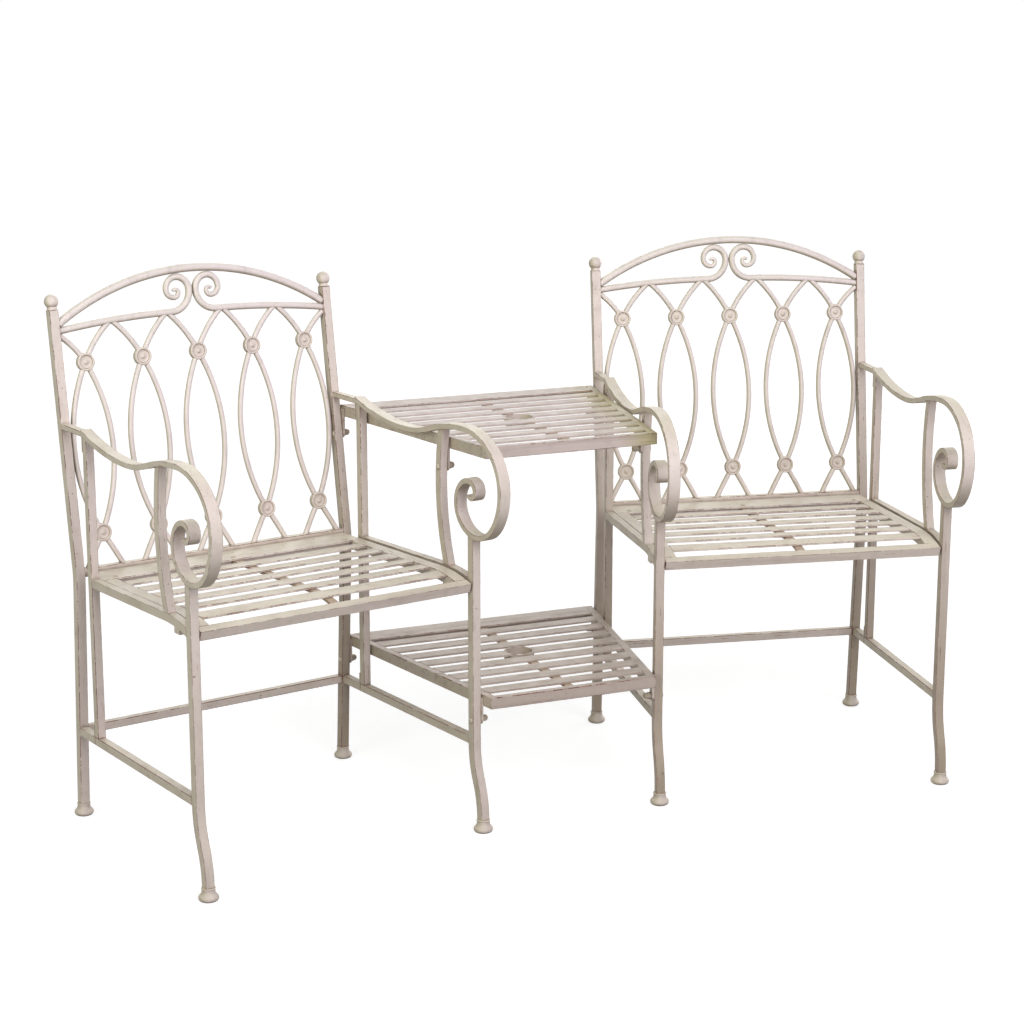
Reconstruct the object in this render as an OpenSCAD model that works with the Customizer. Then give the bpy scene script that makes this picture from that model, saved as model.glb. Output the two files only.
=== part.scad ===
// Garden companion seat: two slatted chairs that turn towards each other,
// joined by a tapered table and a lower shelf with a parasol hole.
// X runs along the set, Y runs from the fronts (-) to the backs (+), Z is up.
// Each chair is drawn in its own frame: x = 0 at its middle, y = 0 at the rear feet.

/* [Layout] */
// Distance of each chair's middle from the middle of the set
chair_offset = 515; // [480:1:560]
// Angle by which each chair turns towards the table
toe_in = 11.5; // [8:0.5:13]
// Distance between the centres of a chair's rear posts
post_spacing = 520; // [480:1:560]
// Gap between parts that are bolted face to face
joint_gap = 0.3; // [0.1:0.1:0.5]

/* [Back posts] */
// Side of the square post
post_w = 16; // [14:0.5:18]
// Wall of the square tubes
tube_wall = 1.5; // [1:0.1:2]
// Height of the bend in the post
bend_z = 430; // [400:1:440]
// How far the post leans forward from its foot to the bend
bend_lean = 24; // [0:1:40]
// Radius of the bend
bend_r = 120; // [60:1:200]
// Recline of the back
recline = 8; // [4:0.5:14]
// Height of the post under its finial
post_top_z = 873; // [860:1:900]

/* [Finials and feet] */
// Diameter of the finial ball
ball_d = 22.5; // [20:0.5:30]
// Diameter of the finial's collar
collar_d = 19; // [17:0.5:20]
// Height of the finial's collar
collar_h = 4; // [2:0.5:8]
// Height of a foot
foot_h = 22; // [20:1:30]
// Radius of a foot at its widest
foot_r = 16.5; // [15:0.5:22]
// Radius of a foot's neck
foot_neck_r = 11; // [10:0.5:13]
// Radius of the rounding round a foot's base
foot_round_r = 5.5; // [4:0.5:8]
// Angle up to which a foot's base is rounded
foot_round_angle = 50; // [30:1:60]

/* [Back panel] */
// Number of ovals in the back
oval_count = 5; // [3:1:7]
// Distance between the middles of neighbouring ovals
oval_pitch = 105; // [100:0.5:110]
// Height of the lower rosettes
rosette_z = 498; // [490:1:520]
// Distance from the lower to the upper rosettes along the back
oval_h = 288; // [270:1:300]
// Half the width of an oval
oval_half_w = 35.5; // [28:0.5:40]
// Diameter of the lattice bars
lattice_d = 9.5; // [8:0.5:11]
// Distance of the upper bars' ends from the middle of their joint
bar_end_gap = 1.2; // [1:0.1:3]
// Rise of the upper bars' curve
upper_bow = 4.5; // [1:0.5:6]
// Rise of the lower bars' curve
lower_bow = 1; // [0.5:0.5:3]
// Sideways reach of the bars below the lower rosettes
lower_reach = 36; // [30:1:44]
// Distance from the upper rosettes to the scroll rail along the back
rail_above = 70; // [60:1:76]
// Diameter of the scroll rail
rail_d = 12; // [10:0.5:13.5]
// Radius of the scroll rail's slight curve
rail_curve_r = 1500; // [1000:10:3000]
// Radius of the turn from the rail into its scroll
scroll_turn_r = 36; // [30:0.5:38]
// Radius of the scroll's turn down from its top
scroll_fall_r = 20.5; // [19:0.5:21.5]
// Radius of the turn under the scroll's curl
scroll_under_r = 14.5; // [13:0.5:16]
// Radius of the scroll's inner curl
scroll_curl_r = 8.5; // [8:0.5:10]
// Radius of the scroll's last turn
scroll_eye_r = 7; // [6.8:0.1:7.5]
// Diameter of the arch
arch_d = 14; // [12:0.5:15.5]
// Height of the arch's crown above the scroll rail, along the back
arch_above = 73; // [70:1:80]
// Rise of the arch from its ends to its crown
arch_rise = 82; // [70:1:95]
// Side of the square rail under the lattice
back_rail_w = 14; // [12:0.5:16]
// Height of that rail's centre
back_rail_z = 436; // [432:1:438]
// Diameter of a rosette
rosette_d = 31; // [28:0.5:34]
// Thickness of a rosette's body
rosette_t = 9; // [8.5:0.5:12]
// Diameter of the dish in a rosette
dish_d = 22; // [18:0.5:23]
// Depth of that dish
dish_depth = 1.8; // [1:0.1:2.5]
// Radius of a rosette's rounded rim
rim_r = 2.1; // [1.5:0.1:2.5]
// Diameter of a rosette's boss
boss_d = 8.5; // [6:0.5:10]

/* [Side frames] */
// Side of the square front leg
leg_w = 15; // [13:0.5:16]
// Distance of the front leg in front of the rear feet
leg_y = 439; // [420:1:445]
// How far the front foot stands in front of its leg
leg_kick = 25; // [10:1:40]
// Height over which the front leg kicks forward
kick_h = 128; // [110:1:130]
// Side of the square uprights, stretchers and seat rails
bar_w = 14; // [12:0.5:15]
// Distance of the rear upright in front of the rear feet
upright_y = 84; // [75:1:90]
// Distance of the middle upright's foot in front of the rear feet
mid_foot_y = 366; // [355:1:372]
// How far the top of the middle upright stands behind its foot
mid_lean = 15; // [5:1:25]
// How far the middle upright bows back between its ends
mid_bow = 17; // [10:1:20]
// Height of the stretchers' centres
stretcher_z = 156; // [152:1:180]

/* [Ties] */
// Height of the upper ties' centres
tie_z = 683; // [676:1:685]
// Thickness of a tie's end plate
tie_plate_t = 3.5; // [2.5:0.5:5]
// Height of a tie's end plate
tie_plate_h = 34; // [30:1:40]
// Diameter of a tie screw's shank
tie_screw_d = 4; // [3:0.5:5]
// Diameter of the round screw heads
screw_head_d = 9; // [7:0.5:10]
// Height of the round screw heads
screw_head_h = 2.6; // [2:0.1:3]

/* [Arms] */
// Width of the flat arm bar
arm_w = 20; // [16:1:22]
// Thickness of the arm bar
arm_t = 9; // [7:0.5:10]
// Height of the arm bar's lowest point, at its middle
arm_valley_z = 661; // [655:1:668]
// Distance of that point in front of the rear feet
arm_valley_y = 240; // [230:1:250]
// Radius of the arm behind its lowest point
arm_rear_r = 532; // [500:1:560]
// Radius of the arm in front of its lowest point
arm_rise_r = 247; // [230:1:260]
// Angle of the arm where it starts to crest
arm_rise_angle = 18; // [16:0.5:19]
// Radius of the arm's crest
arm_crest_r = 335; // [320:1:345]
// Radii of the arm's scroll, from the crest to its end
scroll_r1 = 120; // [110:1:125]
// Second radius of the arm's scroll
scroll_r2 = 87; // [80:1:92]
// Third radius of the arm's scroll
scroll_r3 = 97; // [92:1:102]
// Fourth radius of the arm's scroll
scroll_r4 = 62; // [58:1:66]
// Fifth radius of the arm's scroll
scroll_r5 = 47; // [44:1:50]
// Sixth radius of the arm's scroll
scroll_r6 = 42; // [40:1:44]
// Seventh radius of the arm's scroll
scroll_r7 = 26; // [24:0.5:28]
// Eighth radius of the arm's scroll, over the top of its curl
scroll_r8 = 15; // [14:0.5:16]
// Ninth radius of the arm's scroll, down the front of its curl
scroll_r9 = 11; // [10:0.5:12]
// Radius of the eye that ends the arm
arm_eye_r = 7; // [6.5:0.5:8]

/* [Seat] */
// Height of the seat's top at its rear edge
seat_z = 436.5; // [430:0.5:440]
// Slope at which the seat rises to the front
seat_slope = 1.5; // [0.5:0.1:3]
// Distance of the start of the front curve in front of the rear feet
seat_bend_y = 355; // [345:1:360]
// Radius of the seat's front curve
seat_curve_r = 275; // [250:5:320]
// Step from the top of the side frame's rail down to the seat
seat_step = 2; // [0.5:0.5:3]
// Gap between the seat and its rails
seat_gap = 3.5; // [1:0.5:4]
// Width of the tubes at the seat's sides
seat_side_w = 23; // [18:1:26]
// Height of the tubes round the seat
seat_frame_h = 16; // [14:0.5:17]
// Depth of the seat's front rail
seat_front_d = 16; // [14:1:18]
// Depth of the seat's rear band
seat_band_d = 68; // [60:1:75]
// Distance from the rear edge of a seat slat to that of the next
seat_pitch = 51; // [45:1:52]
// Number of slats in the seat
seat_slat_count = 6; // [4:1:7]
// Width of a seat slat
seat_slat_w = 26; // [22:1:30]
// Thickness of the slats and bands
slat_t = 3; // [2:0.5:4]
// Width of the flat bars under the slats
under_bar_w = 16; // [12:1:20]
// Thickness of the flat bars under the slats
under_bar_t = 4; // [3:0.5:5]
// Width of the lugs that carry the seat
lug_w = 18; // [14:1:20]
// Thickness of those lugs
lug_t = 5; // [4:0.5:6]
// Distance of the lugs in front of the rear feet
lug_y = 400; // [380:1:410]
// Distance of the seat screws from the ends of the rear band
screw_inset = 6; // [6:0.5:12]
// Diameter of a seat screw's shank
seat_screw_d = 5; // [4:0.5:6]

/* [Table and shelf] */
// Height of the table's top
table_z = 662; // [640:1:680]
// Distance of the table's rear edge behind the line of rear feet
table_rear_y = 64; // [58:1:68]
// Depth of the table and of the shelf
table_depth = 458; // [430:1:470]
// Height of the shelf's top
shelf_z = 236; // [230:1:260]
// Distance of the shelf's rear edge behind the line of rear feet
shelf_rear_y = 50; // [46:1:52]
// Width of the rails round the table
table_rail_w = 14; // [12:0.5:16]
// Height of the rails round the table
table_rail_h = 20; // [18:0.5:24]
// Width of the flat band beside the rear rail
table_band_w = 36; // [30:1:40]
// Number of slats in the table
table_slat_count = 8; // [6:1:9]
// Width of a table slat
table_slat_w = 28; // [24:1:30]
// Distance of the parasol hole in front of the line of rear feet
parasol_y = 170; // [160:1:180]
// Bore of the parasol ring
parasol_bore_d = 47; // [40:0.5:50]
// Wall of the parasol ring
parasol_wall = 3.5; // [2.5:0.5:4]
// Height of the parasol ring
parasol_ring_h = 14; // [8:0.5:18]

/* [Table bolts] */
// Thickness of the tabs that hang under the table
tab_t = 4; // [3:0.5:5]
// Width of those tabs
tab_w = 18; // [14:1:20]
// Depth of the bolts below the rails of the table
table_bolt_drop = 30; // [24:1:34]
// Depth of the bolts below the rails of the shelf
shelf_bolt_drop = 24; // [20:1:28]
// Height over which a tab is welded to its rail
tab_weld_h = 15; // [8:1:18]
// Diameter of the bolts
bolt_d = 6; // [5:0.5:7]
// Radial clearance of the bolts in their holes
bolt_clearance = 0.25; // [0.1:0.05:0.4]
// Diameter of a bolt's round head
bolt_head_d = 12; // [10:0.5:13]
// Height of a bolt's round head
bolt_head_h = 3; // [2:0.5:5]
// Width of a cap nut across its flats
nut_d = 10; // [9:0.5:12]
// Depth of the bolt's hole in a cap nut
nut_h = 5; // [4:0.5:7]
// Thickness of a cap nut's closed end under its dome
nut_end_t = 1.5; // [1:0.5:2.5]
// Height of a cap nut's dome
nut_dome_h = 4; // [2:0.5:4.5]

/* [Hidden] */
$fn = 48;
sides = [-1, 1];
cream = [0.86, 0.82, 0.75];
pale_cream = [0.89, 0.85, 0.80];
aged_cream = [0.80, 0.77, 0.68];
worn_steel = [0.66, 0.60, 0.54];

// How far cutting solids run past what they cut
overrun = 20;
// How far an outline's straight pieces may stray from its arcs
arc_error = 0.1;
// Outer face of a chair's side frame, from the chair's middle
face_x = post_spacing/2 + post_w/2;
post_x = post_spacing/2;
leg_x = face_x - leg_w/2;
bar_x = face_x - bar_w/2;
post_inner_x = post_x - post_w/2;
// Centre line of the post above its bend
function post_y(z) = (z - bend_z)*tan(recline) - bend_lean;
// Centre line of the post below its bend
function lower_post_y(z) = -bend_lean*z/bend_z;
lower_lean = atan(bend_lean/bend_z);

// Points and headings along a chain of arcs, [radius, turn], and straights, [0, length]
function arc_end(p, h, r, turn) = p + r*sign(turn)*[sin(h + turn) - sin(h), cos(h) - cos(h + turn)];
function walk(p, h, chain, i = 0) = i >= len(chain) ? [[p.x, p.y, h]] :
  let (s = chain[i], straight = s[0] == 0,
       n = straight ? 1 : ceil(abs(s[1])/2/acos(1 - arc_error/s[0])),
       q = straight ? p + s[1]*[cos(h), sin(h)] : arc_end(p, h, s[0], s[1]),
       h2 = straight ? h : h + s[1])
  concat(
    [for (k = [0:n - 1]) let (a = straight ? 0 : s[1]*k/n, c = straight ? p : arc_end(p, h, s[0], a))
      [c.x, c.y, h + a]],
    walk(q, h2, chain, i + 1));
function side_of(q, d) = [q.x - d*sin(q[2]), q.y + d*cos(q[2])];
function band_outline(path, t) = concat([for (q = path) side_of(q, t/2)],
  [for (i = [len(path) - 1:-1:0]) side_of(path[i], -t/2)]);
// The same path run on past both ends
function run_on(path, e) = let (a = path[0], b = path[len(path) - 1]) concat(
  [[a.x - e*cos(a[2]), a.y - e*sin(a[2]), a[2]]], path,
  [[b.x + e*cos(b[2]), b.y + e*sin(b[2]), b[2]]]);

// A bar that follows a path in the Y-Z plane
module side_bar(path, w, t) {
  rotate([90, 0, 90]) linear_extrude(w, center = true) polygon(band_outline(path, t));
}
// A tube that follows a path in the Y-Z plane, open at both ends
module side_tube(path, w, t, wall) {
  difference() {
    side_bar(path, w, t);
    side_bar(run_on(path, overrun), w - 2*wall, t - 2*wall);
  }
}
// A round bar bowed between two points of the X-Y plane, towards the left of its run
module bowed_bar(p, q, bow, d) {
  chord = norm(q - p);
  r = (chord*chord/4 + bow*bow)/(2*abs(bow));
  left = [p.y - q.y, q.x - p.x]*sign(bow)/chord;
  c = (p + q)/2 - left*(r - abs(bow));
  from = bow > 0 ? q - c : p - c;
  translate([c.x, c.y, 0]) rotate(atan2(from.y, from.x))
    rotate_extrude(angle = 2*asin(chord/2/r)) translate([r, 0]) circle(d = d);
}
// A round bar that follows a chain of arcs in the X-Y plane
module round_chain(p, h, chain, d, i = 0) {
  if (i < len(chain)) {
    s = chain[i];
    q = arc_end(p, h, s[0], s[1]);
    c = p + s[0]*sign(s[1])*[-sin(h), cos(h)];
    from = s[1] > 0 ? p - c : q - c;
    translate([c.x, c.y, 0]) rotate(atan2(from.y, from.x))
      rotate_extrude(angle = abs(s[1])) translate([s[0], 0]) circle(d = d);
    round_chain(q, h + s[1], chain, d, i + 1);
  }
}
// A straight square tube along X, centred on the origin
module cross_tube(length, w) {
  difference() {
    cube([length, w, w], center = true);
    cube([length + overrun, w - 2*tube_wall, w - 2*tube_wall], center = true);
  }
}
// A round head that sits on the X-Y plane
module round_head(d, h) {
  r = (d*d/4 + h*h)/(2*h);
  intersection() {
    translate([0, 0, h - r]) sphere(r);
    translate([-d, -d, 0]) cube([2*d, 2*d, d]);
  }
}
// A round-headed screw that points down, its head seated on the X-Y plane
module screw(d, length, head_d, head_h) {
  round_head(head_d, head_h);
  translate([0, 0, -length]) cylinder(d = d, h = length);
}

// The arm's centre line, from behind the rear upright to the end of its scroll
arm_lead = asin((arm_valley_y - upright_y + bar_w)/arm_rear_r);
arm_path = walk(
  [arm_rear_r*sin(arm_lead) - arm_valley_y, arm_valley_z + arm_rear_r*(1 - cos(arm_lead))],
  180 + arm_lead, [
  [arm_rear_r, -arm_lead], [arm_rise_r, -arm_rise_angle], [arm_crest_r, arm_rise_angle],
  [scroll_r1, 35], [scroll_r2, 55], [scroll_r3, 40], [scroll_r4, 95],
  [scroll_r5, 45], [scroll_r6, 70], [scroll_r7, 45], [scroll_r8, 80],
  [scroll_r9, 90], [arm_eye_r, 60]]);
upright_rear_y = bar_w/2 - upright_y;

// The seat's top line: level at the rear, rising, then falling over the front edge
seat_rear_y = back_rail_w/2 + joint_gap - post_y(back_rail_z);
bend_points = 12;
function seat_tilt(y) = y <= seat_bend_y ? seat_slope
  : asin(sin(seat_slope) - (y - seat_bend_y)/seat_curve_r);
function seat_top(y) = seat_z + (min(y, seat_bend_y) - seat_rear_y)*tan(seat_slope)
  + seat_curve_r*(cos(seat_tilt(y)) - cos(seat_slope));
function seat_stops(from, to) = concat([from],
  [for (k = [0:bend_points - 1]) let (y = seat_bend_y + k*(leg_y - seat_bend_y)/bend_points)
    if (y > from && y < to) y],
  [to]);
function seat_path(from, to, drop) = [for (y = seat_stops(from, to)) let (a = seat_tilt(y))
  [-y - drop*sin(a), seat_top(y) - drop*cos(a), 180 - a]];
rail_drop = bar_w/2 - seat_step;
side_tube_x = face_x - bar_w - seat_gap - seat_side_w/2;
slat_half_x = side_tube_x - seat_side_w/2;
seat_half_x = side_tube_x + seat_side_w/2;
leg_rear_y = leg_y - leg_w/2;
front_rail_y = leg_y + leg_w/2 - seat_front_d;
seat_front_y = front_rail_y + seat_front_d;
upright_front_y = upright_y + bar_w/2;
lug_z = seat_top(lug_y) - seat_frame_h - lug_t;
lug_length = face_x - side_tube_x + lug_w/2;

// Heights and depths of the bolts between the decks and the chairs
table_bolt_z = table_z - table_rail_h - table_bolt_drop;
shelf_bolt_z = shelf_z - table_rail_h - shelf_bolt_drop;
table_post_y = post_y(table_bolt_z);
shelf_post_y = lower_post_y(shelf_bolt_z);

// Where things stand in the set: the whole depth is centred on Y = 0
ball_sink = collar_h/4;
ball_up = collar_h + ball_d/2 - ball_sink;
function to_set_y(x, y) = x*sin(toe_in) + y*cos(toe_in);
rear_reach = to_set_y(post_x, post_y(post_top_z) + ball_up*sin(recline)) + ball_d/2;
front_reach = min([for (q = band_outline(arm_path, arm_t)) to_set_y(-bar_x - arm_w/2, q.x)]);
mid_depth = (rear_reach + front_reach)/2;
module chair(side) {
  translate([0, -mid_depth, 0]) mirror([side > 0 ? 1 : 0, 0, 0])
    translate([-chair_offset, 0, 0]) rotate(toe_in) children();
}
module both_chairs() for (side = sides) chair(side) children();
// The plane of the back: X across, Y up along the back, Z towards the front
module back_plane() {
  translate([0, post_y(rosette_z), rosette_z]) rotate([90 - recline, 0, 0]) children();
}

// Things that belong to the table are drawn in the set's own frame
module in_set() translate([0, -mid_depth, 0]) children();

// Back posts
bend_run = bend_r*tan((lower_lean + recline)/2);
post_path = walk([lower_post_y(foot_h - overrun), foot_h - overrun], 90 + lower_lean, [
  [0, (bend_z - foot_h + overrun)/cos(lower_lean) - bend_run],
  [bend_r, -lower_lean - recline],
  [0, (post_top_z - bend_z)/cos(recline) - bend_run]]);
module post_solid() side_bar(post_path, post_w, post_w);
module bolt_hole(x, y, z, w) {
  translate([x - w, y, z]) rotate([0, 90, 0]) cylinder(r = bolt_d/2 + bolt_clearance, h = 2*w);
}
module back_post(side) {
  difference() {
    translate([side*post_x, 0, 0]) side_tube(post_path, post_w, post_w, tube_wall);
    translate([side*post_x - post_w, -post_w, foot_h - 2*overrun]) cube([2*post_w, 2*post_w, 2*overrun]);
    if (side > 0) {
      bolt_hole(post_x, table_post_y, table_bolt_z, post_w);
      bolt_hole(post_x, shelf_post_y, shelf_bolt_z, post_w);
    }
  }
}

// Finials: a ball on a collar, in line with the post
module finial() {
  cylinder(d = collar_d, h = collar_h);
  translate([0, 0, ball_up]) sphere(d = ball_d);
}
module finials() color(pale_cream) both_chairs() for (side = sides)
  translate([side*post_x, post_y(post_top_z), post_top_z]) rotate([-recline, 0, 0]) finial();

// Feet: a flared cup with a peg that goes up into the tube
foot_peg_h = foot_h/2;
foot_end = arc_end([foot_r - foot_round_r, 0], 0, foot_round_r, 90 + foot_round_angle);
foot_hollow_r = (foot_end.x - foot_neck_r)/(1 - cos(foot_round_angle));
foot_path = walk([foot_r - foot_round_r, 0], 0, [
  [foot_round_r, 90 + foot_round_angle],
  [foot_hollow_r, -foot_round_angle],
  [0, foot_h - foot_end.y - foot_hollow_r*sin(foot_round_angle)]]);
module foot(tube_w, lean) {
  rotate_extrude() polygon(concat([[0, 0]], [for (q = foot_path) [q.x, q.y]], [[0, foot_h]]));
  peg_r = tube_w/2 - tube_wall - joint_gap;
  translate([0, 0, foot_h]) rotate([lean, 0, 0]) translate([0, 0, -peg_r])
    cylinder(r = peg_r, h = foot_peg_h + peg_r);
}
module feet() color(aged_cream) both_chairs() for (side = sides) {
  translate([side*post_x, lower_post_y(foot_h), 0]) foot(post_w, lower_lean);
  translate([side*leg_x, -leg_y - leg_kick, 0]) foot(leg_w, 0);
}

// Scroll rail, lattice and arch, drawn in the plane of the back
rail_v = oval_h + rail_above;
scroll_x = rail_d/2 + joint_gap/2;
rail_flat_x = scroll_x + scroll_turn_r;
arch_r = (post_x*post_x + arch_rise*arch_rise)/(2*arch_rise);
arch_v = rail_v + arch_above;
function arch_drop(x) = arch_r - sqrt(arch_r*arch_r - x*x);
scroll_room = arch_above - arch_d/2 - rail_d/2 - scroll_turn_r;
scroll_fill = scroll_room - arch_drop(scroll_x + scroll_room);
scroll_top_r = scroll_room - arch_drop(scroll_x + scroll_fill);
rail_sweep = asin((post_x - rail_flat_x)/rail_curve_r);
scroll_chain = [
  [scroll_turn_r, 90], [scroll_top_r, 90], [scroll_fall_r, 90],
  [scroll_under_r, 90], [scroll_curl_r, 90], [scroll_eye_r, 90]];
// Keeps what lies between the posts
module between_posts() intersection() {
  children();
  translate([-post_inner_x, -post_spacing, -overrun]) cube([2*post_inner_x, 3*post_spacing, 2*overrun]);
}
module rail_arc() mirror([1, 0, 0]) round_chain([0, 0], 0, [[rail_curve_r, -rail_sweep]], rail_d);
module scroll_rails() back_plane() between_posts() for (side = sides)
  mirror([side > 0 ? 1 : 0, 0, 0]) translate([-rail_flat_x, rail_v, 0]) {
    rail_arc();
    round_chain([0, 0], 0, scroll_chain, rail_d);
  }
module back_arch() back_plane() between_posts()
  bowed_bar([-post_x, arch_v - arch_rise], [post_x, arch_v - arch_rise], arch_rise, arch_d);

function rail_fall(x) = x <= rail_flat_x ? 0
  : rail_curve_r - sqrt(rail_curve_r*rail_curve_r - (x - rail_flat_x)*(x - rail_flat_x));

// Lattice: bowed bars that run from rosette to rosette and on to the rails
oval_xs = [for (k = [0:oval_count - 1]) (k - (oval_count - 1)/2)*oval_pitch];
rail_top_v = (back_rail_z + back_rail_w/2 - rosette_z)/cos(recline);
module rosette_space(x, v) translate([x, v, 0]) cylinder(d = rosette_d, h = 2*rosette_t, center = true);
module oval_bar(x, side) difference() {
  bowed_bar([x, 0], [x, oval_h], side*oval_half_w, lattice_d);
  rosette_space(x, 0);
  rosette_space(x, oval_h);
}
module upper_bar(x, side) difference() {
  end_x = x + side*(oval_pitch/2 - bar_end_gap);
  bowed_bar([x, oval_h], [end_x, rail_v - rail_fall(abs(end_x))], side*upper_bow, lattice_d);
  rosette_space(x, oval_h);
  mirror([end_x > 0 ? 1 : 0, 0, 0]) translate([-rail_flat_x, rail_v, 0]) rail_arc();
}
module lower_bar(x, side) difference() {
  back_plane() difference() {
    bowed_bar([x, 0], [x + side*lower_reach, rail_top_v - lattice_d], -side*lower_bow, lattice_d);
    rosette_space(x, 0);
  }
  translate([x - oval_pitch, post_y(back_rail_z) - back_rail_w/2, back_rail_z - back_rail_w/2])
    cube([2*oval_pitch, back_rail_w, back_rail_w]);
}
module back_lattice() for (x = oval_xs, side = sides) {
  back_plane() oval_bar(x, side);
  back_plane() {
    if (abs(x + side*oval_pitch/2) > post_inner_x) between_posts() upper_bar(x, side);
    else upper_bar(x, side);
  }
  lower_bar(x, side);
}
module at_rosettes() for (x = oval_xs, v = [0, oval_h]) translate([x, v, 0]) children();
// Rosettes: the same dished face to the front and to the rear
module rosette_face() {
  difference() {
    cylinder(d = rosette_d, h = rosette_t/2);
    translate([0, 0, rosette_t/2 - dish_depth]) cylinder(d = dish_d, h = rosette_t);
  }
  translate([0, 0, rosette_t/2 - rim_r/2]) rotate_extrude() translate([rosette_d/2 - rim_r, 0]) circle(rim_r);
  translate([0, 0, rosette_t/2 - dish_depth]) round_head(boss_d, dish_depth + rim_r/2);
}
module rosettes() color(pale_cream) both_chairs() back_plane() at_rosettes() for (side = sides)
  mirror([0, 0, side > 0 ? 1 : 0]) rosette_face();

// Straight rails between the posts
module back_bottom_rail() translate([0, post_y(back_rail_z), back_rail_z])
  cross_tube(2*post_inner_x, back_rail_w);
module rear_stretcher() translate([0, lower_post_y(stretcher_z), stretcher_z])
  cross_tube(2*post_inner_x, bar_w);

// Arms
module arm(side) {
  difference() {
    translate([side*bar_x, 0, 0]) side_bar(arm_path, arm_w, arm_t);
    translate([side*bar_x - arm_w, upright_rear_y, arm_valley_z]) cube([2*arm_w, 2*arm_w, 4*arm_w]);
  }
}
function arm_rear_z(y) = arm_valley_z + arm_rear_r
  - sqrt(arm_rear_r*arm_rear_r - (arm_valley_y - y)*(arm_valley_y - y));
crest_y = arm_valley_y + (arm_rise_r + arm_crest_r)*sin(arm_rise_angle);
crest_z = arm_valley_z + (arm_rise_r + arm_crest_r)*(1 - cos(arm_rise_angle));
function arm_crest_z(y) = crest_z - arm_crest_r + sqrt(arm_crest_r*arm_crest_r - (crest_y - y)*(crest_y - y));

// Front legs: upright under the arm's scroll, kicked forward at the foot
kick_turn = 2*atan(leg_kick/kick_h);
kick_r = kick_h/2/sin(kick_turn);
leg_top_z = min([for (q = arm_path) q.y]) + arm_t/3;
leg_path = walk([-leg_y - leg_kick, foot_h], 90, [
  [kick_r, -kick_turn], [kick_r, kick_turn], [0, leg_top_z - foot_h - kick_h]]);
module front_leg(side) {
  difference() {
    translate([side*leg_x, 0, 0]) side_tube(leg_path, leg_w, leg_w, tube_wall);
    translate([side*bar_x, 0, 0]) side_bar(arm_path, arm_w, arm_t);
    if (side > 0) bolt_hole(leg_x, -leg_y, shelf_bolt_z, leg_w);
  }
}
// Uprights
module rear_uprights() for (side = sides) {
  difference() {
    translate([side*bar_x, -upright_y, stretcher_z + bar_w/2])
      upright_tube(arm_rear_z(upright_y) - stretcher_z - bar_w/2);
    translate([side*bar_x, 0, 0]) side_bar(arm_path, arm_w, arm_t);
    for (z = [upper_screw_z, lower_screw_z]) tie_screw_hole(side, z);
  }
}
module upright_tube(h) {
  difference() {
    translate([-bar_w/2, -bar_w/2, 0]) cube([bar_w, bar_w, h]);
    translate([tube_wall - bar_w/2, tube_wall - bar_w/2, -bar_w])
      cube([bar_w - 2*tube_wall, bar_w - 2*tube_wall, h + 2*bar_w]);
  }
}
// The middle uprights: one arc from the arm down to the side rail, bowed back
mid_top = [mid_lean - mid_foot_y, arm_crest_z(mid_foot_y - mid_lean)];
mid_height = mid_top.y - seat_top(mid_foot_y) + rail_drop;
mid_chord = norm([mid_lean, mid_height]);
mid_half_turn = 2*atan(2*mid_bow/mid_chord);
mid_r = mid_chord/2/sin(mid_half_turn);
mid_heading = mid_half_turn - 90 - atan(mid_lean/mid_height);
mid_centre = mid_top + mid_r*[sin(mid_heading), -cos(mid_heading)];
mid_path = walk(mid_top, mid_heading, [[mid_r, -2*mid_half_turn]]);
function mid_y(z) = mid_centre.x + sqrt(mid_r*mid_r - (z - mid_centre.y)*(z - mid_centre.y));
module mid_uprights() for (side = sides) {
  difference() {
    translate([side*bar_x, 0, 0]) side_tube(mid_path, bar_w, bar_w, tube_wall);
    translate([side*bar_x, 0, 0]) side_bar(arm_path, arm_w, arm_t);
    translate([side*bar_x, 0, 0]) side_bar(seat_rail_path, bar_w, bar_w);
    if (side > 0) bolt_hole(bar_x, mid_y(table_bolt_z), table_bolt_z, bar_w);
  }
}
module side_stretchers() for (side = sides) {
  length = leg_y - leg_w/2 + upright_rear_y;
  translate([side*bar_x, upright_rear_y - length/2, stretcher_z]) rotate(90) cross_tube(length, bar_w);
}

module between_uprights(half_x) intersection() {
  children();
  translate([-half_x, -leg_rear_y, seat_z - post_spacing/2])
    cube([2*half_x, leg_rear_y - upright_front_y, post_spacing]);
}
seat_rail_path = seat_path(upright_y, leg_y, rail_drop);
module seat_lug(side) difference() {
  translate([side*side_tube_x + (side > 0 ? -lug_w/2 : lug_w/2 - lug_length), -lug_y - lug_w/2, lug_z])
    cube([lug_length, lug_w, seat_frame_h]);
  translate([side*bar_x, 0, 0]) side_bar(seat_rail_path, bar_w, bar_w);
  translate([side*side_tube_x, 0, 0]) seat_side_bar(seat_side_w);
  translate([side*(bar_x - bar_w/2 - seat_gap/2), 0, 0]) seat_side_bar(seat_gap);
  translate([side*side_tube_x, -lug_y, lug_z - lug_t]) seat_screw_hole(seat_frame_h);
}
cross_rail_z = seat_top(upright_y - bar_w/2) - slat_t/cos(seat_slope) - bar_w/2;
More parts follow.
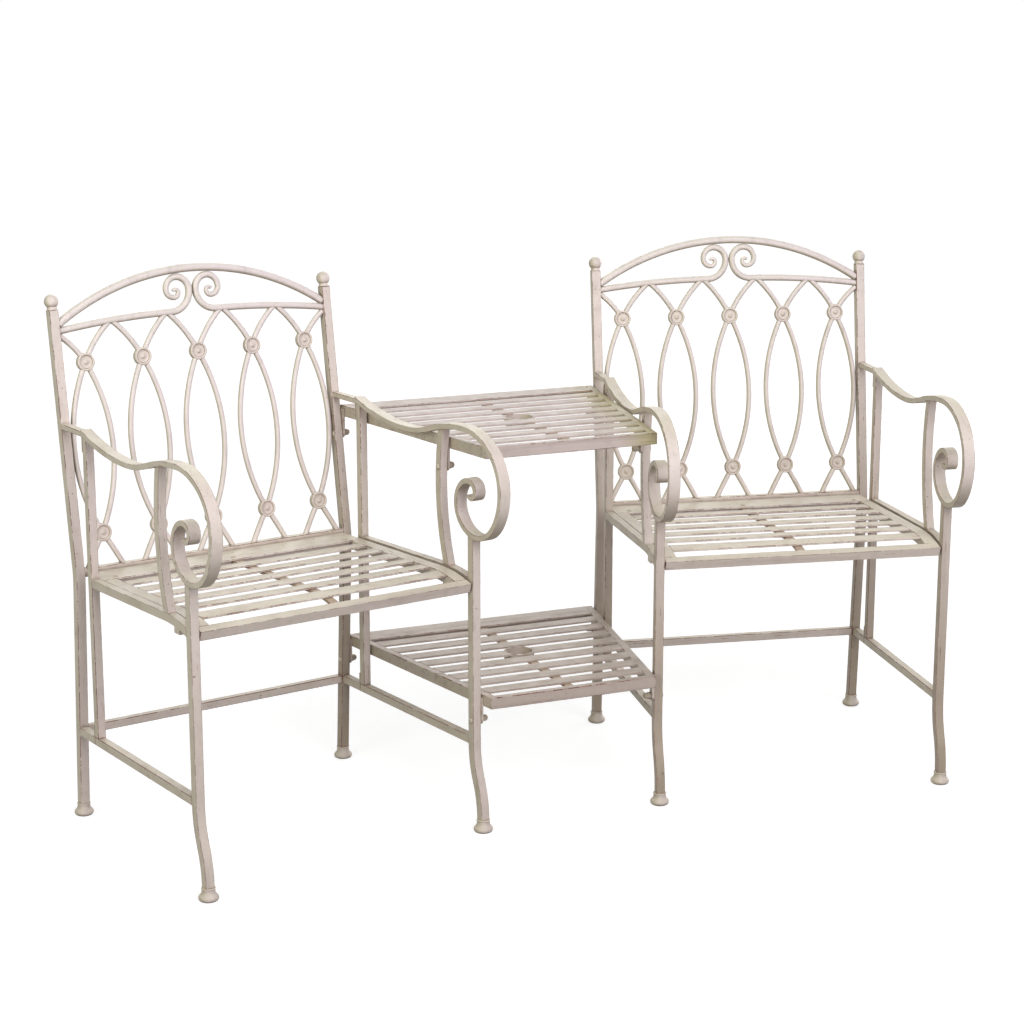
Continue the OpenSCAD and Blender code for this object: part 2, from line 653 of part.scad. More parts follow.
// Side rails with their lugs, and the rail under the seat's rear band
module seat_frame() {
  for (side = sides) {
    between_uprights(face_x) translate([side*bar_x, 0, 0])
      side_tube(seat_rail_path, bar_w, bar_w, tube_wall);
    seat_lug(side);
  }
  difference() {
    translate([0, -upright_y, cross_rail_z]) cross_tube(2*bar_x - bar_w, bar_w);
    at_band_screws() translate([0, 0, -bar_w/2]) seat_screw_hole(bar_w);
  }
}
module seat_screw_hole(h) cylinder(r = seat_screw_d/2 + bolt_clearance, h = h);
screw_xs = [for (k = sides) k*(slat_half_x - screw_inset), 0];
module at_band_screws() for (x = screw_xs)
  translate([x, -upright_y, seat_top(upright_y)]) rotate([-seat_slope, 0, 0]) children();
module seat_side_bar(w) side_bar(seat_path(seat_rear_y, seat_front_y, seat_frame_h/2), w, seat_frame_h);
module seat_side_tubes() for (side = sides) difference() {
  translate([side*side_tube_x, 0, 0])
    side_tube(seat_path(seat_rear_y + seat_band_d, front_rail_y, seat_frame_h/2),
      seat_side_w, seat_frame_h, tube_wall);
  translate([side*side_tube_x, -lug_y, seat_top(lug_y) - 1.5*seat_frame_h]) seat_screw_hole(seat_frame_h);
}
module seat_front_rail() difference() {
  side_bar(seat_path(front_rail_y, seat_front_y, seat_frame_h/2), 2*seat_half_x, seat_frame_h);
  side_bar(seat_path(front_rail_y + tube_wall, seat_front_y - tube_wall, seat_frame_h/2),
    2*seat_half_x + overrun, seat_frame_h - 2*tube_wall);
}
module seat_rear_band() difference() {
  side_bar(seat_path(seat_rear_y, seat_rear_y + seat_band_d, slat_t/2), 2*seat_half_x, slat_t);
  at_band_screws() translate([0, 0, -2*slat_t]) seat_screw_hole(3*slat_t);
}
module seat_slats() for (k = [0:seat_slat_count - 1]) {
  y = front_rail_y - (k + 1)*seat_pitch;
  side_bar(seat_path(y, y + seat_slat_w, slat_t/2), 2*slat_half_x, slat_t);
}
module seat_centre_bar() side_bar(
  seat_path(upright_y + bar_w/2, front_rail_y, slat_t + under_bar_t/2), under_bar_w, under_bar_t);
module seat_screws() color(worn_steel) both_chairs() {
  at_band_screws() screw(seat_screw_d, slat_t + 2*tube_wall, screw_head_d, screw_head_h);
  for (side = sides) translate([side*side_tube_x, -lug_y, lug_z])
    rotate([180, 0, 0]) screw(seat_screw_d, 2*lug_t, screw_head_d, screw_head_h);
}

// Ties between the posts and the rear uprights, with their screws
upper_plate_z = tie_z + arm_t/2 - tie_plate_h;
lower_plate_z = stretcher_z - bar_w/2;
upper_screw_z = upper_plate_z + screw_head_d;
lower_screw_z = lower_plate_z + tie_plate_h - screw_head_d;
module tie_screw_hole(side, z) translate([side*bar_x, upright_rear_y, z]) rotate([90, 0, 0])
  cylinder(r = tie_screw_d/2 + bolt_clearance, h = bar_w, center = true);
// A tie of height h whose end plate reaches down to a given height
module tie(side, z, h, plate_z) difference() {
  x = side*bar_x - bar_w/2;
  y = z > bend_z ? post_y(z) : lower_post_y(z);
  union() {
    translate([x, upright_rear_y, z - h/2]) cube([bar_w, y - upright_rear_y, h]);
    translate([x, upright_rear_y, plate_z]) cube([bar_w, tie_plate_t, tie_plate_h]);
  }
  translate([side*post_x, 0, 0]) post_solid();
  for (screw_z = [upper_screw_z, lower_screw_z]) tie_screw_hole(side, screw_z);
}
module frame_ties() color(cream) both_chairs() for (side = sides) {
  tie(side, tie_z, arm_t, upper_plate_z);
  tie(side, stretcher_z, bar_w, lower_plate_z);
}
module tie_screws() color(worn_steel) both_chairs() for (side = sides, z = [upper_screw_z, lower_screw_z])
  translate([side*bar_x, upright_rear_y + tie_plate_t, z]) rotate([-90, 0, 0])
    screw(tie_screw_d, tie_plate_t + 2*tube_wall, screw_head_d, screw_head_h);

// Table and shelf: the same deck at two heights
reach = 2*chair_offset;
deck_rail_x = face_x + joint_gap + tab_t;
// Half the width of the deck at a given depth, inside a given line of the chair's frame
function deck_half(x, y) = chair_offset - x/cos(toe_in) + y*tan(toe_in);
module deck_plate(rear, front, z, h, x = deck_rail_x + table_rail_w)
  translate([0, 0, z - h]) linear_extrude(h) polygon([
    for (q = [[-1, rear], [1, rear], [1, front], [-1, front]]) [q[0]*deck_half(x, q[1]), q[1]]]);
module deck_rear_rail(z, rear) in_set() {
  deck_plate(rear, rear - table_rail_w, z, table_rail_h);
  deck_plate(rear, rear - table_rail_w - table_band_w, z, slat_t);
}
module deck_front_rail(z, rear) in_set()
  deck_plate(rear - table_depth + table_rail_w, rear - table_depth, z, table_rail_h, deck_rail_x);
module deck_side_rails(z, rear) for (side = sides) intersection() {
  chair(side) translate([deck_rail_x, -reach, z - table_rail_h]) cube([table_rail_w, 2*reach, table_rail_h]);
  in_set() translate([-reach, rear - table_depth + table_rail_w, z - 2*table_rail_h])
    cube([2*reach, table_depth - table_rail_w, reach]);
}
slat_room = table_depth - 2*table_rail_w - table_band_w;
table_gap = (slat_room - table_slat_count*table_slat_w)/(table_slat_count + 1);
module deck_slats(z, rear) in_set() difference() {
  for (k = [0:table_slat_count - 1]) {
    y = rear - table_rail_w - table_band_w - table_gap - k*(table_slat_w + table_gap);
    deck_plate(y, y - table_slat_w, z, slat_t);
  }
  ring_hole(z, parasol_bore_d + 2*parasol_wall);
}
module ring_hole(z, d) translate([0, -parasol_y, z - table_rail_h]) cylinder(d = d, h = 2*table_rail_h);
module deck_ring(z) in_set() difference() {
  translate([0, -parasol_y, z - parasol_ring_h])
    cylinder(d = parasol_bore_d + 2*parasol_wall, h = parasol_ring_h);
  ring_hole(z, parasol_bore_d);
}
module deck_centre_bar(z, rear) in_set() difference() {
  translate([-under_bar_w/2, rear - table_depth + table_rail_w, z - slat_t - under_bar_t])
    cube([under_bar_w, table_depth - 2*table_rail_w, under_bar_t]);
  ring_hole(z, parasol_bore_d + 2*parasol_wall);
}
module centre_bars() color(aged_cream) {
  deck_centre_bar(table_z, table_rear_y);
  deck_centre_bar(shelf_z, shelf_rear_y);
}

// Tabs, bolts and cap nuts that join the decks to the chairs
// Depth, height, width of the tube and drop below the deck's rail at each bolt
bolt_places = [
  [table_post_y, table_bolt_z, post_w, table_bolt_drop],
  [mid_y(table_bolt_z), table_bolt_z, bar_w, table_bolt_drop],
  [shelf_post_y, shelf_bolt_z, post_w, shelf_bolt_drop],
  [-leg_y, shelf_bolt_z, leg_w, shelf_bolt_drop]];
module tab(y, z, drop) difference() {
  translate([face_x + joint_gap, y, z]) rotate([0, 90, 0]) {
    cylinder(d = tab_w, h = tab_t);
    translate([-drop - tab_weld_h, -tab_w/2, 0]) cube([drop + tab_weld_h, tab_w, tab_t]);
  }
  bolt_hole(face_x + joint_gap + tab_t/2, y, z, tab_t);
}
module table_tabs() color(cream) both_chairs() for (b = bolt_places) tab(b[0], b[1], b[3]);
module table_bolts() color(worn_steel) both_chairs() for (b = bolt_places)
  translate([face_x - b[2], b[0], b[1]]) rotate([0, -90, 0])
    screw(bolt_d, b[2] + joint_gap + tab_t + nut_h - bolt_clearance, bolt_head_d, bolt_head_h);
module cap_nut() {
  difference() {
    linear_extrude(nut_h + nut_end_t) circle(r = nut_d/2/cos(30), $fn = 6);
    translate([0, 0, -nut_h]) cylinder(r = bolt_d/2 + bolt_clearance, h = 2*nut_h);
  }
  translate([0, 0, nut_h + nut_end_t]) round_head(nut_d, nut_dome_h);
}
module cap_nuts() color(worn_steel) both_chairs() for (b = bolt_places)
  translate([face_x + joint_gap + tab_t, b[0], b[1]]) rotate([0, 90, 0]) cap_nut();

// The named pieces
module left_back_post_outer() color(pale_cream) chair(-1) back_post(-1);
module left_back_post_inner() color(pale_cream) chair(-1) back_post(1);
module left_back_arch() color(cream) chair(-1) back_arch();
module left_scroll_rails() color(cream) chair(-1) scroll_rails();
module left_back_lattice() color(cream) chair(-1) back_lattice();
module left_back_bottom_rail() color(cream) chair(-1) back_bottom_rail();
module left_rear_stretcher() color(aged_cream) chair(-1) rear_stretcher();
module left_arm_outer() color(cream) chair(-1) arm(-1);
module left_arm_inner() color(cream) chair(-1) arm(1);
module left_front_leg_outer() color(pale_cream) chair(-1) front_leg(-1);
module left_front_leg_inner() color(pale_cream) chair(-1) front_leg(1);
module left_rear_uprights() color(pale_cream) chair(-1) rear_uprights();
module left_mid_uprights() color(pale_cream) chair(-1) mid_uprights();
module left_seat_frame() color(aged_cream) chair(-1) seat_frame();
module left_side_stretchers() color(aged_cream) chair(-1) side_stretchers();
module left_seat_front_rail() color(cream) chair(-1) seat_front_rail();
module left_seat_side_tubes() color(cream) chair(-1) seat_side_tubes();
module left_seat_rear_band() color(cream) chair(-1) seat_rear_band();
module left_seat_slats() color(cream) chair(-1) seat_slats();
module left_seat_centre_bar() color(aged_cream) chair(-1) seat_centre_bar();
module right_back_post_outer() color(pale_cream) chair(1) back_post(-1);
module right_back_post_inner() color(pale_cream) chair(1) back_post(1);
module right_back_arch() color(cream) chair(1) back_arch();
module right_scroll_rails() color(cream) chair(1) scroll_rails();
module right_back_lattice() color(cream) chair(1) back_lattice();
module right_back_bottom_rail() color(cream) chair(1) back_bottom_rail();
module right_rear_stretcher() color(aged_cream) chair(1) rear_stretcher();
module right_arm_outer() color(cream) chair(1) arm(-1);
module right_arm_inner() color(cream) chair(1) arm(1);
module right_front_leg_outer() color(pale_cream) chair(1) front_leg(-1);
module right_front_leg_inner() color(pale_cream) chair(1) front_leg(1);
module right_rear_uprights() color(pale_cream) chair(1) rear_uprights();
module right_mid_uprights() color(pale_cream) chair(1) mid_uprights();
module right_seat_frame() color(aged_cream) chair(1) seat_frame();
module right_side_stretchers() color(aged_cream) chair(1) side_stretchers();
module right_seat_front_rail() color(cream) chair(1) seat_front_rail();
module right_seat_side_tubes() color(cream) chair(1) seat_side_tubes();
module right_seat_rear_band() color(cream) chair(1) seat_rear_band();
module right_seat_slats() color(cream) chair(1) seat_slats();
module right_seat_centre_bar() color(aged_cream) chair(1) seat_centre_bar();
module table_rear_rail() color(cream) deck_rear_rail(table_z, table_rear_y);
module table_front_rail() color(cream) deck_front_rail(table_z, table_rear_y);
module table_side_rails() color(cream) deck_side_rails(table_z, table_rear_y);
module table_slats() color(cream) deck_slats(table_z, table_rear_y);
module table_parasol_ring() color(pale_cream) deck_ring(table_z);
module shelf_rear_rail() color(cream) deck_rear_rail(shelf_z, shelf_rear_y);
module shelf_front_rail() color(cream) deck_front_rail(shelf_z, shelf_rear_y);
module shelf_side_rails() color(cream) deck_side_rails(shelf_z, shelf_rear_y);
module shelf_slats() color(cream) deck_slats(shelf_z, shelf_rear_y);
module shelf_parasol_ring() color(pale_cream) deck_ring(shelf_z);

left_back_post_outer();
left_back_post_inner();
left_back_arch();
left_scroll_rails();
left_back_lattice();
left_back_bottom_rail();
left_rear_stretcher();
left_arm_outer();
left_arm_inner();
left_front_leg_outer();
left_front_leg_inner();
left_rear_uprights();
left_mid_uprights();
left_seat_frame();
left_side_stretchers();
left_seat_front_rail();
left_seat_side_tubes();
left_seat_rear_band();
left_seat_slats();
left_seat_centre_bar();
right_back_post_outer();
right_back_post_inner();
right_back_arch();
right_scroll_rails();
right_back_lattice();
right_back_bottom_rail();
right_rear_stretcher();
right_arm_outer();
right_arm_inner();
right_front_leg_outer();
right_front_leg_inner();
right_rear_uprights();
right_mid_uprights();
right_seat_frame();
right_side_stretchers();
right_seat_front_rail();
right_seat_side_tubes();
right_seat_rear_band();
right_seat_slats();
right_seat_centre_bar();
rosettes();
finials();
feet();
frame_ties();
tie_screws();
seat_screws();
table_rear_rail();
table_front_rail();
table_side_rails();
table_slats();
table_parasol_ring();
shelf_rear_rail();
shelf_front_rail();
shelf_side_rails();
shelf_slats();
shelf_parasol_ring();
centre_bars();
table_tabs();
table_bolts();
cap_nuts();
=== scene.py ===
import math
import bpy
import bmesh
from mathutils import Matrix, Vector


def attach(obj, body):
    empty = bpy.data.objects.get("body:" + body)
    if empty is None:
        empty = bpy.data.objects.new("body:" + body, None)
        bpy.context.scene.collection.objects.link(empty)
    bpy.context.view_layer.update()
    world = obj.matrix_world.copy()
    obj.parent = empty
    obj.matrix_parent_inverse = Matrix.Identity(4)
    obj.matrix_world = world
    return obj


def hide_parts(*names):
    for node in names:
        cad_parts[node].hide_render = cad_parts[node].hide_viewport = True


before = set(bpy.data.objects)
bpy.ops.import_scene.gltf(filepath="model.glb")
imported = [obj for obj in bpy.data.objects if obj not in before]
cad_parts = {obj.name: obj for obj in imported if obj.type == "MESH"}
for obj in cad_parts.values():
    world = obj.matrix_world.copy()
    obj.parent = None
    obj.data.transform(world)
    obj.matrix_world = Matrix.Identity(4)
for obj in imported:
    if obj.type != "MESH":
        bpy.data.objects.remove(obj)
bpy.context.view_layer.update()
scene = bpy.context.scene
scene.view_settings.view_transform = "Standard"
print("frame loaded:", len(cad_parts), "nodes")

# where the chairs stand, in metres: the same numbers as the construction
seating = {"offset": 0.515, "toeIn": math.radians(11.5), "depthShift": 0.235505, "postX": 0.26, "faceX": 0.268}
backLean = {"recline": math.radians(8.0), "bendZ": 0.43, "bendY": -0.024, "rosetteZ": 0.498}
sides = {"left": -1, "right": 1}


def postY(z):  # middle of a rear post at a height
    if z < backLean["bendZ"]:
        return backLean["bendY"] * z / backLean["bendZ"]
    return (z - backLean["bendZ"]) * math.tan(backLean["recline"]) + backLean["bendY"]


def chairPlace(side):  # from a chair's own frame to the row's frame
    place = Matrix.Translation((-seating["offset"], 0, 0)) @ Matrix.Rotation(seating["toeIn"], 4, "Z")
    if side > 0:
        place = Matrix.Scale(-1, 4, (1, 0, 0)) @ place
    return Matrix.Translation((0, seating["depthShift"], 0)) @ place


def backPlace(side):  # from the plane of a chair's back to the row's frame
    z = backLean["rosetteZ"]
    tilt = Matrix.Rotation(math.pi / 2 - backLean["recline"], 4, "X")
    return chairPlace(side) @ Matrix.Translation((0, postY(z), z)) @ tilt


def placed(matrix, place, facing):  # a place and a direction in the row's frame
    return matrix @ Vector(place), (matrix.to_3x3() @ Vector(facing)).normalized()


# finishes
def tone(red, green, blue):  # a paint colour as a screen shows it, 0 to 255
    return tuple(((c / 255 + 0.055) / 1.055) ** 2.4 if c > 10 else c / 3294 for c in (red, green, blue)) + (1,)


def addNode(tree, kind, inputs=None, **settings):
    made = tree.nodes.new(kind)
    for key, value in settings.items():
        setattr(made, key, value)
    for key, value in (inputs or {}).items():
        if isinstance(value, bpy.types.NodeSocket):
            tree.links.new(value, made.inputs[key])
        else:
            made.inputs[key].default_value = value
    return made


def mathNode(tree, operation, a, b=0.0, clamp=False):
    return addNode(tree, "ShaderNodeMath", {0: a, 1: b}, operation=operation, use_clamp=clamp).outputs[0]


def rangeNode(tree, value, low, high, toLow=0.0, toHigh=1.0):
    inputs = {"Value": value, "From Min": low, "From Max": high, "To Min": toLow, "To Max": toHigh}
    return addNode(tree, "ShaderNodeMapRange", inputs, interpolation_type="SMOOTHSTEP").outputs["Result"]


def mixNode(tree, share, a, b):
    return addNode(tree, "ShaderNodeMix", {0: share, 6: a, 7: b}, data_type="RGBA").outputs[2]


def noiseNode(tree, place, scale, detail=2.0, roughness=0.5):
    inputs = {"Vector": place, "Scale": scale, "Detail": detail, "Roughness": roughness}
    return addNode(tree, "ShaderNodeTexNoise", inputs).outputs["Fac"]


def stretched(tree, place, scale, turn=(0, 0, 0)):
    return addNode(tree, "ShaderNodeMapping", {"Vector": place, "Scale": scale, "Rotation": turn}).outputs[0]


def emptyMaterial(name):
    material = bpy.data.materials.new(name)
    material.use_nodes = True
    material.node_tree.nodes.clear()
    return material, material.node_tree


strokes = {"width": (15, 430, 430), "depth": (430, 15, 430), "height": (430, 430, 15)}  # drawn out along one way
patchScales = {"cloud": 5.0, "patch": 7.0, "mottle": 38.0, "dash": 42.0, "speck": 150.0, "flake": 240.0}
paintLook = {
    # the pink and greenish tints just below, and the dark tone after them, are painted light and shade: pink where
    # faces turn to the front and right, greenish where they turn left, dark on undersides and low parts
    "crown": tone(229, 220, 202), "frontLitTint": tone(236, 221, 217), "leftShadeTint": tone(200, 191, 167),
    # the dark brown on the next line serves the brush marks, and the dirt and painted shade in corners
    "under": tone(158, 142, 122), "grimeAndShade": tone(100, 78, 60), "reflectionTint": tone(184, 174, 132),
    "primer": tone(156, 104, 88), "rust": tone(84, 46, 37),
    "streaks": strokes["height"], "brush": 0.12, "brushWidth": 0.16, "mottling": 0.12, "chairShift": 0.37,
    "edge": 0.0022, "wear": 0.53, "speckle": 0.68, "scratch": 0.665, "groundShade": 0.28, "armReflection": 0.0,
    "crease": 0.75, "creaseReach": 0.010, "roughness": 0.46, "specular": 0.42, "grain": 0.25, "bump": 0.0004,
}
finishes = {
    "creamPaint": {},
    # painted shade, strong towards the ground, with a little more wear, for the pieces that stand in the shade of the
    # set
    "shadedWornPaint": {"wear": 0.51, "groundShade": 0.90},
    "sidePaint": {"streaks": strokes["depth"], "crease": 0.55, "groundShade": 0.4},
    "crossPaint": {"streaks": strokes["width"], "wear": 0.52, "groundShade": 0.4},
    # the backs' lighter cream and pink are a painted highlight for the upper parts, which stand brighter in the light;
    # they also have fewer worn marks
    "litBackPaint": {"crown": tone(235, 227, 213), "frontLitTint": tone(242, 229, 229), "wear": 0.62,
                  "speckle": 0.71, "scratch": 0.74},
    "slatPaint": {"wear": 0.545, "edge": 0.0017, "speckle": 0.67, "streaks": strokes["width"]},
    # the table's deck also carries a painted reflection along its right-hand rail
    "deckPaint": {"crown": tone(194, 181, 171), "frontLitTint": tone(212, 195, 192), "wear": 0.56, "edge": 0.0015,
                  "streaks": strokes["width"], "armReflection": 0.9, "crease": 0.4, "brush": 0.30, "groundShade": 0.5},
    "barePaint": {"crown": tone(184, 162, 136), "frontLitTint": tone(184, 162, 142), "leftShadeTint": tone(164, 146, 116),
                  "wear": 0.49, "speckle": 0.60, "streaks": strokes["depth"]},
    "castPaint": {"wear": 0.90, "speckle": 0.80, "crease": 0.35, "groundShade": 0.3, "scratch": 0.9},
    "agedPaint": {"wear": 0.505, "speckle": 0.65, "streaks": strokes["width"]},
    "agedSidePaint": {"wear": 0.505, "speckle": 0.65, "streaks": strokes["depth"]},
    "hardwarePaint": {"crown": tone(212, 200, 178), "frontLitTint": tone(204, 188, 174), "leftShadeTint": tone(180, 168, 142),
                      "wear": 0.54, "speckle": 0.64, "edge": 0.0009, "roughness": 0.5},
}


def chairGrain(tree, place):  # both chairs folded onto one side and turned straight, each with its own marks
    spot = addNode(tree, "ShaderNodeSeparateXYZ", {0: place}).outputs
    shift = mathNode(tree, "MULTIPLY", mathNode(tree, "SIGN", spot[0]), paintLook["chairShift"])
    lift = mathNode(tree, "ADD", spot[2], shift)
    across = mathNode(tree, "ABSOLUTE", spot[0])
    folded = addNode(tree, "ShaderNodeCombineXYZ", {0: across, 1: spot[1], 2: lift}).outputs[0]
    return stretched(tree, folded, (1, 1, 1), (0, 0, seating["toeIn"]))


def makePaint(name, changes):  # brushed cream paint, rubbed through to dark primer along the edges
    look = {**paintLook, **changes}
    material, tree = emptyMaterial(name)

    def times(a, b):
        return mathNode(tree, "MULTIPLY", a, b)

    def plus(a, b):
        return mathNode(tree, "ADD", a, b)

    def along(vector, way):  # how far a place or a direction reaches the given way
        return addNode(tree, "ShaderNodeVectorMath", {0: vector, 1: way}, operation="DOT_PRODUCT").outputs["Value"]

    place = addNode(tree, "ShaderNodeTexCoord").outputs["Object"]
    shape = addNode(tree, "ShaderNodeNewGeometry").outputs
    down = addNode(tree, "ShaderNodeSeparateXYZ", {0: shape["Normal"]}).outputs[2]
    height = addNode(tree, "ShaderNodeSeparateXYZ", {0: place}).outputs[2]
    grain = place if look["armReflection"] else chairGrain(tree, place)
    # painted light and shade by the way a face turns: a lighter pink painted where faces turn to the front and right,
    # where the light falls, a greenish painted shade where they turn to the left, and a darker painted shade on
    # undersides and on the low parts, towards the ground
    cloud = noiseNode(tree, place, patchScales["cloud"])
    uneven = rangeNode(tree, cloud, 0.3, 0.7, 0.7, 1.0)
    frontLit = times(rangeNode(tree, along(shape["Normal"], (0.55, -0.83, 0.0)), 0.15, 0.8), uneven)
    leftShaded = times(rangeNode(tree, along(shape["Normal"], (-0.95, 0.1, -0.3)), 0.15, 0.85), uneven)
    colour = mixNode(tree, leftShaded, look["crown"], look["leftShadeTint"])
    colour = mixNode(tree, frontLit, colour, look["frontLitTint"])
    colour = mixNode(tree, rangeNode(tree, down, -0.1, -0.8, 0.0, 0.8), colour, look["under"])
    colour = mixNode(tree, rangeNode(tree, height, 0.82, 0.0, 0.0, look["groundShade"]), colour, look["under"])
    if look["armReflection"]:  # a painted reflection, a yellowish-green colour cast from the right chair's arm, along the table's right-hand rail
        beyond = along(place, (1.0, -math.tan(seating["toeIn"]), 0.0))
        turned = times(rangeNode(tree, beyond, 0.105, 0.18), rangeNode(tree, height, 0.55, 0.6))
        turned = times(turned, rangeNode(tree, cloud, 0.3, 0.6, 0.45, look["armReflection"]))
        colour = mixNode(tree, turned, colour, look["reflectionTint"])
    # brush marks and mottling in the coat
    drawn = stretched(tree, grain, tuple(look["brushWidth"] * s for s in look["streaks"]))
    marks = noiseNode(tree, drawn, 1.0, 3.0, 0.6)
    mottle = noiseNode(tree, place, patchScales["mottle"], 4.0, 0.6)
    thin = times(rangeNode(tree, mottle, 0.45, 0.80), look["mottling"])
    thin = plus(thin, times(rangeNode(tree, marks, 0.50, 0.74), look["brush"]))
    colour = mixNode(tree, thin, colour, look["grimeAndShade"])
    # dirt and painted shade in the corners and joints, darkened where ambient occlusion finds other surfaces close by
    openness = addNode(tree, "ShaderNodeAmbientOcclusion", {"Distance": look["creaseReach"]}, samples=6).outputs["AO"]
    crease = rangeNode(tree, openness, 0.78, 0.40, 0.0, look["crease"])
    crease = times(crease, rangeNode(tree, mottle, 0.3, 0.65, 0.5, 1.0))
    colour = mixNode(tree, crease, colour, look["grimeAndShade"])
    # edges: the eased faces, and where the rounded normal departs from the true one
    rounded = addNode(tree, "ShaderNodeBevel", {"Radius": look["edge"]}, samples=8).outputs[0]
    beside = rangeNode(tree, along(rounded, shape["True Normal"]), 0.985, 0.93)
    rim = addNode(tree, "ShaderNodeAttribute", attribute_name="rim").outputs["Fac"]
    edge = mathNode(tree, "MAXIMUM", times(beside, 0.7), rim)
    patch = noiseNode(tree, place, patchScales["patch"])
    dash = noiseNode(tree, place, patchScales["dash"], 2.0, 0.55)
    flake = noiseNode(tree, place, patchScales["flake"], 3.0, 0.65)
    worn = plus(plus(times(flake, 0.3), times(patch, 0.3)), times(dash, 0.5))
    worn = plus(worn, rangeNode(tree, height, 0.5, 0.1, 0.0, 0.03))
    rub = times(edge, rangeNode(tree, worn, look["wear"], look["wear"] + 0.05))
    # specks and long scratches in the open coat
    speck = noiseNode(tree, place, patchScales["speck"], 3.0, 0.6)
    speck = rangeNode(tree, speck, look["speckle"], look["speckle"] + 0.04)
    speck = times(speck, rangeNode(tree, patch, 0.48, 0.6))
    lines = noiseNode(tree, stretched(tree, grain, look["streaks"]), 1.0)
    lines = rangeNode(tree, lines, look["scratch"], look["scratch"] + 0.06)
    lines = times(lines, rangeNode(tree, dash, 0.44, 0.56))
    bare = mathNode(tree, "MAXIMUM", rub, mathNode(tree, "MAXIMUM", speck, times(lines, 0.75)))
    halo = times(edge, rangeNode(tree, worn, look["wear"] - 0.07, look["wear"] + 0.05))
    colour = mixNode(tree, times(halo, 0.4), colour, look["primer"])
    depth = mixNode(tree, rangeNode(tree, flake, 0.38, 0.6), look["primer"], look["rust"])
    colour = mixNode(tree, times(bare, 0.9), colour, depth)
    # relief and sheen
    relief = mathNode(tree, "SUBTRACT", times(plus(mottle, marks), look["grain"]), times(bare, 0.8))
    bump = addNode(tree, "ShaderNodeBump", {"Strength": 0.35, "Distance": look["bump"], "Height": relief}).outputs[0]
    rough = rangeNode(tree, mottle, 0.3, 0.7, look["roughness"] - 0.06, look["roughness"] + 0.1)
    rough = mathNode(tree, "ADD", rough, times(bare, 0.3), True)
    shader = addNode(tree, "ShaderNodeBsdfPrincipled", {"Base Color": colour, "Roughness": rough, "Normal": bump,
                                                        "Specular IOR Level": look["specular"]})
    addNode(tree, "ShaderNodeOutputMaterial", {"Surface": shader.outputs[0]})
    return material


paints = {name: makePaint(name, changes) for name, changes in finishes.items()}
print("finishes made:", ", ".join(paints))


# small helpers for pieces
def linkObject(name, mesh):
    piece = bpy.data.objects.new(name, mesh)
    scene.collection.objects.link(piece)
    return piece


def settled(carrier, name):  # the evaluated result as a plain mesh of its own
    bpy.context.view_layer.update()
    mesh = bpy.data.meshes.new_from_object(carrier.evaluated_get(bpy.context.evaluated_depsgraph_get()))
    mesh.name = name
    bpy.data.objects.remove(carrier)
    return linkObject(name, mesh)


def dress(piece, paint, *nodes):  # paint is None where the node tree has set it
    if paint is not None:
        piece.data.materials.clear()
        piece.data.materials.append(paints[paint])
    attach(piece, "root")
    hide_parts(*nodes)
    return piece


def smoothFaces(mesh, degrees):
    mesh.polygons.foreach_set("use_smooth", [True] * len(mesh.polygons))
    mesh.set_sharp_from_angle(angle=math.radians(degrees))


def keptMesh(work, name, degrees):  # the worked shape as a smooth-shaded mesh
    mesh = bpy.data.meshes.new(name)
    work.to_mesh(mesh)
    work.free()
    smoothFaces(mesh, degrees)
    return mesh


def easeEdges(work, pick, width, steps):  # rounds the picked edges and marks the new faces, where paint rubs off
    rim = work.faces.layers.float.new("rim")
    picked = [e for e in work.edges if pick(e)]
    made = bmesh.ops.bevel(work, geom=picked, offset=width, offset_type="OFFSET", segments=steps, profile=0.5,
                           affect="EDGES", clamp_overlap=True, loop_slide=True)
    for face in made["faces"]:
        face[rim] = 1.0


# tubes, flats and plates: the construction's own shapes with eased edges
shading = {"plain": 40, "turned": 38}  # degrees past which an edge stays sharp
merging = {"reach": 2e-6, "flat": math.radians(1.2)}


def easedCopy(node, ease, name):
    work = bmesh.new()
    work.from_mesh(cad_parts[node].data)
    bmesh.ops.remove_doubles(work, verts=work.verts, dist=merging["reach"])
    bmesh.ops.dissolve_limit(work, angle_limit=merging["flat"], verts=work.verts, edges=work.edges)

    def isCorner(e):
        return (len(e.link_faces) == 2 and e.calc_length() > ease["shortest"]
                and e.calc_face_angle(0) > math.radians(ease["corner"]))

    easeEdges(work, isCorner, ease["width"], ease["steps"])
    carrier = linkObject(name + "Work", keptMesh(work, name, shading["plain"]))
    even = carrier.modifiers.new("evenShading", "WEIGHTED_NORMAL")
    even.keep_sharp = True
    return settled(carrier, name)


